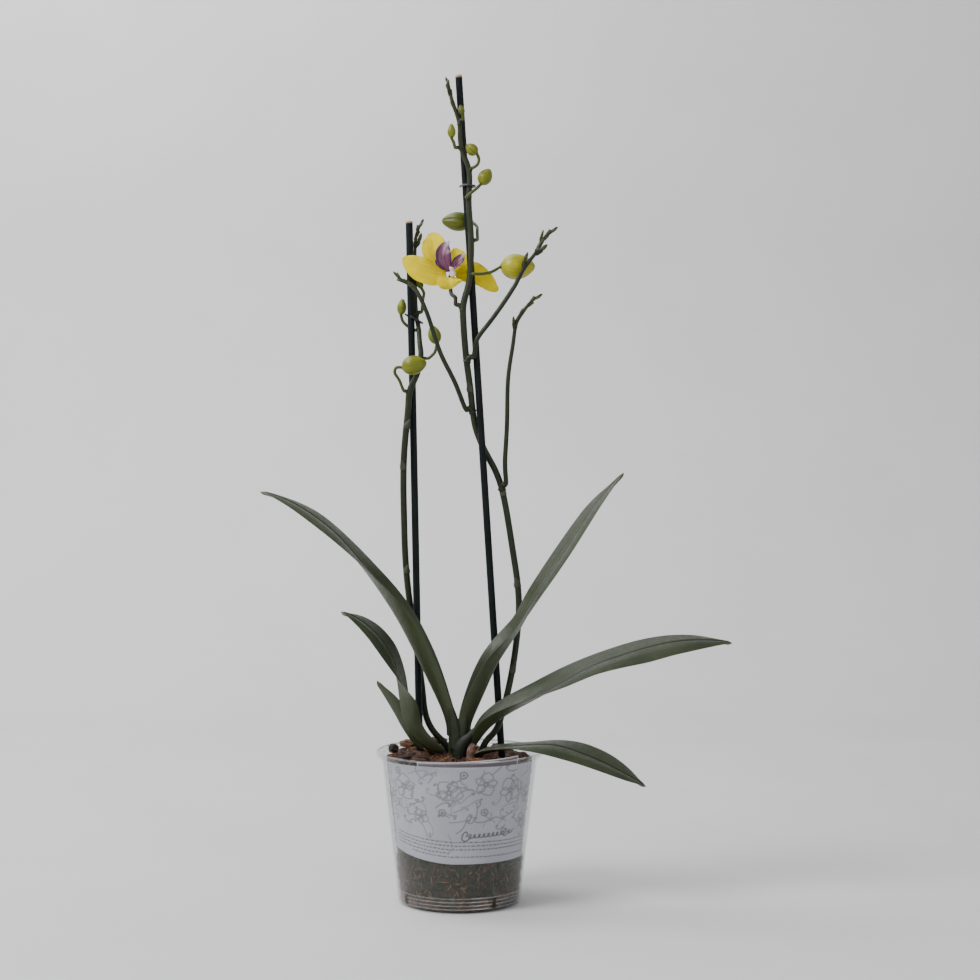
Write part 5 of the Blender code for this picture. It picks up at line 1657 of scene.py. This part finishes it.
def grow_knuckle(name, guest, host, finish):
    """Swollen base that joins a stalk or branch to its host stem, or None past KNUCKLE_REACH."""
    middles = host[1:-1].mean(axis=1)
    span = lengths_along(host[1:-1])
    fine = np.linspace(0, span[-1], STEM_SAMPLES)
    line = np.stack([np.interp(fine, span, middles[:, axis]) for axis in range(3)], axis=1)
    gap, nearest, base, after, radius = nearer_end(guest, line)
    if gap > KNUCKLE_REACH:
        return None
    root = line[max(0, nearest - int((KNUCKLE_SINK + 0.8 * gap) / fine[1]))]
    way = (after - base) / np.linalg.norm(after - base)
    bend = base - way * gap * 0.45
    end = base + way * KNUCKLE_OVERLAP
    turn = TURN * np.arange(KNUCKLE_SIDES) / KNUCKLE_SIDES
    rings = []
    for share in np.linspace(0, 1, 9):
        place = (1 - share) ** 2 * root + 2 * share * (1 - share) * bend + share**2 * end
        slope = 2 * (1 - share) * (bend - root) + 2 * share * (end - bend)
        slope /= np.linalg.norm(slope)
        side = np.cross(slope, (0.13, 0.97, 0.21))
        side /= np.linalg.norm(side)
        up = np.cross(side, slope)
        size = radius * (1.75 - 0.70 * share**0.7)
        rings.append(place + size * (np.cos(turn)[:, None] * side + np.sin(turn)[:, None] * up))
    return grow_stem(name, with_poles(np.array(rings)), finish, 2, 2)


# Sheaths at the stems' joints: stem, millimetres above the rim, direction faced, length in millimetres.
BRACTS = (
    ("spike_left", 60.0, (-0.7, -1.0, 0.0), 8.0),
    ("spike_left", 128.0, (0.8, -1.0, 0.0), 7.0),
    ("spike_left", 205.0, (-0.8, -1.0, 0.0), 8.0),
    ("spike_left", 235.0, (0.9, -1.0, 0.0), 7.0),
    ("spike_right", 55.0, (0.9, -1.0, 0.0), 8.0),
    ("spike_right", 118.0, (-0.6, -1.0, 0.0), 8.0),
    ("spike_right", 186.0, (0.8, -1.0, 0.0), 7.0),
    ("spike_right", 262.0, (-0.6, -1.0, 0.0), 8.0),
)


def leaf_like(name, light, dark):
    """Dry or fleshy small leaf with lengthwise veins."""
    made, shader, surface = material(name)
    across, along, _, _ = shader.attribute("growth")
    _, _, _, metres = shader.attribute("metres")
    grain = use(shader, GRAIN, {"Vector": metres, "Scale": (1800.0, 60.0, 0.0)})
    mottle = use(shader, MOTTLE, {"Vector": shader.place(), "Scale": 90.0})
    ground = shader.blend(mottle["Broad"], dark, light)
    ground = shader.wash(ground, grain["Lines"], 0.4, tint(light, 1.5))
    edge = shader.ramp(shader.sum("ABSOLUTE", across), 0.75, 1.0, 0.0, 0.6)
    ground = shader.blend(edge, ground, tint(light, 1.4))
    ground = shader.blend(shader.ramp(along, 0.8, 1.0, 0.0, 0.6), ground, tint(dark, 0.5))
    coat(shader, surface, ground, mottle["Fine"], (0.45, 0.65), grain["Grain"], 0.0002, 0.7)
    return made


class ORCHID_OT_canes(bpy.types.Operator):
    """Stand the two dyed canes and clip the spikes to them"""

    bl_idname = "orchid.canes"
    bl_label = "Canes and clips"

    def execute(self, context):
        plant = context.scene.orchid_plant
        cane = cane_finish("Dyed cane", plant.cane[:])
        clip = clip_finish("Clip plastic", plant.clip[:])
        for side in ("left", "right"):
            rings = stem_rings(f"cane_{side}", 12)
            belongs(grow_cane(f"cane_{side}_round", rings, cane), "cane", f"cane_{side}")
            rings = rings_of(f"clip_{side}", 6)
            piece = grow_stem(f"clip_{side}_moulded", rings, clip, 4, 4)
            belongs(piece, "clip_plastic", f"clip_{side}")
        return {"FINISHED"}


class ORCHID_OT_buds(bpy.types.Operator):
    """Swell the buds and the tips of the stems"""

    bl_idname = "orchid.buds"
    bl_label = "Buds"

    def execute(self, context):
        plant = context.scene.orchid_plant
        stalk = (0.055, 0.070, 0.008)
        green = bud_finish("Green bud", stalk, plant.bud[:], plant.bud_light[:], 0.25)
        turning = bud_finish("Turning bud", stalk, tint(plant.bud, 0.55), plant.bud[:], 0.60)
        ripe = bud_finish("Ripe bud", stalk, tint(plant.bud_light, 0.75), plant.bud_light[:], 0.95)
        names = [f"bud_right_{k}" for k in range(1, 7)] + [f"bud_left_{k}" for k in range(1, 4)]
        for node in [*names, "bud_behind_petal"]:
            finish = {"bud_right_6": ripe, "bud_right_4": turning, "bud_right_5": turning}.get(node, green)
            if node == "bud_behind_petal":
                finish = turning
            seams = 2 if node == "bud_right_6" else 3
            made = grow_bud(node + "_grown", rings_of(node, 8), finish, seams)
            belongs(made, "bud", node)
        tip = bud_finish("Stem tip", stalk, tint(plant.bud, 0.30), tint(plant.bud, 0.6), 0.5)
        for side in TIPS:
            node = "tip_bud_" + side
            belongs(grow_bud(node + "_grown", rings_of(node, 6), tip), "bud", node)
        return {"FINISHED"}


class ORCHID_OT_flower(bpy.types.Operator):
    """Open the flower: petals, sepals, purple lip and pale column"""

    bl_idname = "orchid.flower"
    bl_label = "Flower"

    def execute(self, context):
        plant = context.scene.orchid_plant
        petal = petal_finish("Petal", plant.petal[:])
        for seed, node in enumerate(TEPALS):
            rings = blade_rings(node, COLUMN_MIDDLE, (0, -1, 0))
            ripple = 0.55 * MM if node.startswith("petal") else 0.35 * MM
            made = grow_blade(node + "_grown", rings, petal, 6, 6, ripple, seed, 0.25 * MM)
            belongs(made, "petal", node)
        self.build_lip(lip_finish("Lip", plant.lip[:]))
        pale = speckled_finish(
            "Column", (0.60, 0.42, 0.50), (0.82, 0.74, 0.74), 240.0, (0.32, 0.5), 0.0002,
            fleck=(0.35, 0.05, 0.16), fleck_share=0.35,
        )

        def nose(distance):
            return 0.16 * math.sin(distance * 620)

        made = grow_stem("column_grown", rings_of("column", 8), pale, 4, 8, nose)
        belongs(made, "column", "column")
        callus = (
            (flower_point(-1.2, 2.4, 1.2), 0.4 * MM, 0.0),
            (flower_point(-1.0, 2.8, 2.6), 1.9 * MM, -0.6 * MM),
            (flower_point(-0.8, 3.2, 3.6), 1.7 * MM, -0.7 * MM),
            (flower_point(-0.7, 3.9, 4.2), 0.3 * MM, 0.0),
        )
        knob = speckled_finish(
            "Callus", (0.86, 0.82, 0.74), (0.90, 0.88, 0.82), 420.0, (0.28, 0.42), 0.0001,
            fleck=(0.10, 0.03, 0.03), fleck_share=0.9,
        )
        belongs(thin_blade("lip_callus", callus, FLOWER_FACE, 1.6 * MM, knob), "lip")
        return {"FINISHED"}

    def build_lip(self, finish):
        """Cupped middle lobe that narrows to its tip, and a turned-in lobe on each side."""
        lobes = {
            "lip_middle": (
                (-2.1, 1.6, 0.4, 1.2, 0.6), (-3.6, 4.0, 2.6, 3.0, 1.6), (-5.6, 7.4, 5.0, 5.0, 2.6),
                (-6.6, 11.6, 6.2, 5.7, 2.4), (-6.2, 15.6, 6.4, 5.2, 1.6), (-5.2, 19.0, 6.0, 3.6, 0.8),
                (-3.8, 21.4, 5.2, 1.8, 0.2), (-2.3, 23.6, 4.4, 0.5, 0.0),
            ),
            "lip_lobe_right": (
                (-1.4, 2.6, 1.4, 1.0, 0.2), (1.2, 5.2, 2.8, 2.6, 0.9), (4.6, 8.8, 3.4, 3.6, 1.3),
                (7.4, 12.2, 3.6, 2.2, 0.6), (8.4, 13.6, 3.6, 0.4, 0.0),
            ),
            "lip_lobe_left": (
                (-2.4, 2.4, 1.2, 1.0, 0.2), (-6.2, 4.6, 1.2, 2.4, 0.9), (-9.4, 7.6, 1.0, 2.9, 1.1),
                (-11.2, 10.8, 1.0, 1.8, 0.5), (-11.8, 12.4, 1.0, 0.4, 0.0),
            ),
        }
        made = []
        for seed, (name, rows) in enumerate(lobes.items()):
            stations = [(flower_point(*row[:3]), row[3] * MM, row[4] * MM) for row in rows]
            piece = thin_blade(
                name, stations, FLOWER_FACE, 0.7 * MM, finish, columns=19, ripple=0.35 * MM, seed=seed
            )
            made.append(piece)
        belongs(made[0], "lip", "lip")
        for lobe in made[1:]:
            belongs(lobe, "lip")


class ORCHID_OT_stage(bpy.types.Operator):
    """Set the pale floor, soft lights and level camera"""

    bl_idname = "orchid.stage"
    bl_label = "Stage"

    def execute(self, context):
        stage = context.scene.orchid_stage
        self.lay_floor(stage)
        world = bpy.data.worlds.new("Pale room")
        world.use_nodes = True
        sky = world.node_tree.nodes["Background"]
        sky.inputs[0].default_value = (0.99, 0.99, 1.0, 1.0)
        sky.inputs[1].default_value = 0.62
        context.scene.world = world
        for name, place, target, size, power in LIGHTS:
            light = bpy.data.lights.new(name, "AREA")
            light.shape = "DISK"
            light.size = size
            light.energy = power
            lamp = new_object(name, light)
            lamp.location = place
            way = Vector(target) - Vector(place)
            lamp.rotation_euler = way.to_track_quat("-Z", "Y").to_euler()
        camera = bpy.data.cameras.new("Camera")
        camera.lens = stage.lens
        camera.clip_start = 0.05
        eye = new_object("Camera", camera)
        eye.location = (CAMERA_SIDE, -stage.distance, stage.height)
        eye.rotation_euler = (math.pi / 2, 0.0, 0.0)
        context.scene.camera = eye
        return {"FINISHED"}

    def lay_floor(self, stage):
        """Floor that sweeps up into a backdrop behind the pot."""
        made, shader, surface = material("Pale floor")
        mottle = use(shader, MOTTLE, {"Vector": shader.place(), "Scale": 6.0})
        ground = shader.blend(mottle["Broad"], tint(stage.floor, 0.985), tint(stage.floor, 1.015))
        shader.feed(surface.inputs["Base Color"], ground)
        surface.inputs["Roughness"].default_value = 0.75
        profile = [(-3.0, 0.0), (0.9, 0.0)]
        for turn in np.linspace(0.1, math.pi / 2, 16):
            profile.append((0.9 + 0.7 * math.sin(turn), 0.7 - 0.7 * math.cos(turn)))
        profile.append((1.6, 3.2))
        points = [(x, y, z) for x in (-4.0, 4.0) for y, z in profile]
        count = len(profile)
        faces = [(k, count + k, count + k + 1, k + 1) for k in range(count - 1)]
        floor = add_object("stage_floor", points, faces, made)


# Lights: name, place, what it points at, diameter in metres, watts.
LIGHTS = (
    ("Window", (-1.7, -1.1, 1.9), (0.0, 0.0, 0.25), 1.2, 66.0),
    ("Fill", (1.6, -1.9, 1.0), (0.0, 0.0, 0.25), 1.6, 10.0),
    ("Back", (-0.9, 0.5, 1.9), (0.0, 1.4, 0.5), 1.2, 30.0),
)
# How far the camera stands to the right of the pot's middle.
CAMERA_SIDE = 0.0223


class ORCHID_PT_panel(bpy.types.Panel):
    """Lists the orchid's settings and the operators that build it"""

    bl_idname = "ORCHID_PT_panel"
    bl_label = "Potted orchid"
    bl_space_type = "VIEW_3D"
    bl_region_type = "UI"
    bl_category = "Orchid"

    def draw(self, context):
        layout = self.layout
        for settings in (context.scene.orchid_pot, context.scene.orchid_plant, context.scene.orchid_stage):
            box = layout.box()
            for key in type(settings).__annotations__:
                box.prop(settings, key)
        for operator in OPERATORS:
            layout.operator(operator.bl_idname)


OPERATORS = (
    ORCHID_OT_stage,
    ORCHID_OT_pot,
    ORCHID_OT_papers,
    ORCHID_OT_bark,
    ORCHID_OT_crown,
    ORCHID_OT_leaves,
    ORCHID_OT_stems,
    ORCHID_OT_canes,
    ORCHID_OT_buds,
    ORCHID_OT_flower,
)
SETTINGS = {
    "orchid_pot": OrchidPotSettings,
    "orchid_plant": OrchidPlantSettings,
    "orchid_stage": OrchidStageSettings,
}


def register():
    for key, kind in SETTINGS.items():
        bpy.utils.register_class(kind)
        setattr(bpy.types.Scene, key, bpy.props.PointerProperty(type=kind))
    for kind in (*OPERATORS, ORCHID_PT_panel):
        bpy.utils.register_class(kind)


def unregister():
    for kind in (ORCHID_PT_panel, *reversed(OPERATORS)):
        bpy.utils.unregister_class(kind)
    for key, kind in SETTINGS.items():
        delattr(bpy.types.Scene, key)
        bpy.utils.unregister_class(kind)


def main():
    register()
    for operator in OPERATORS:
        area, call = operator.bl_idname.split(".")
        getattr(getattr(bpy.ops, area), call)()


if __name__ == "__main__":
    main()
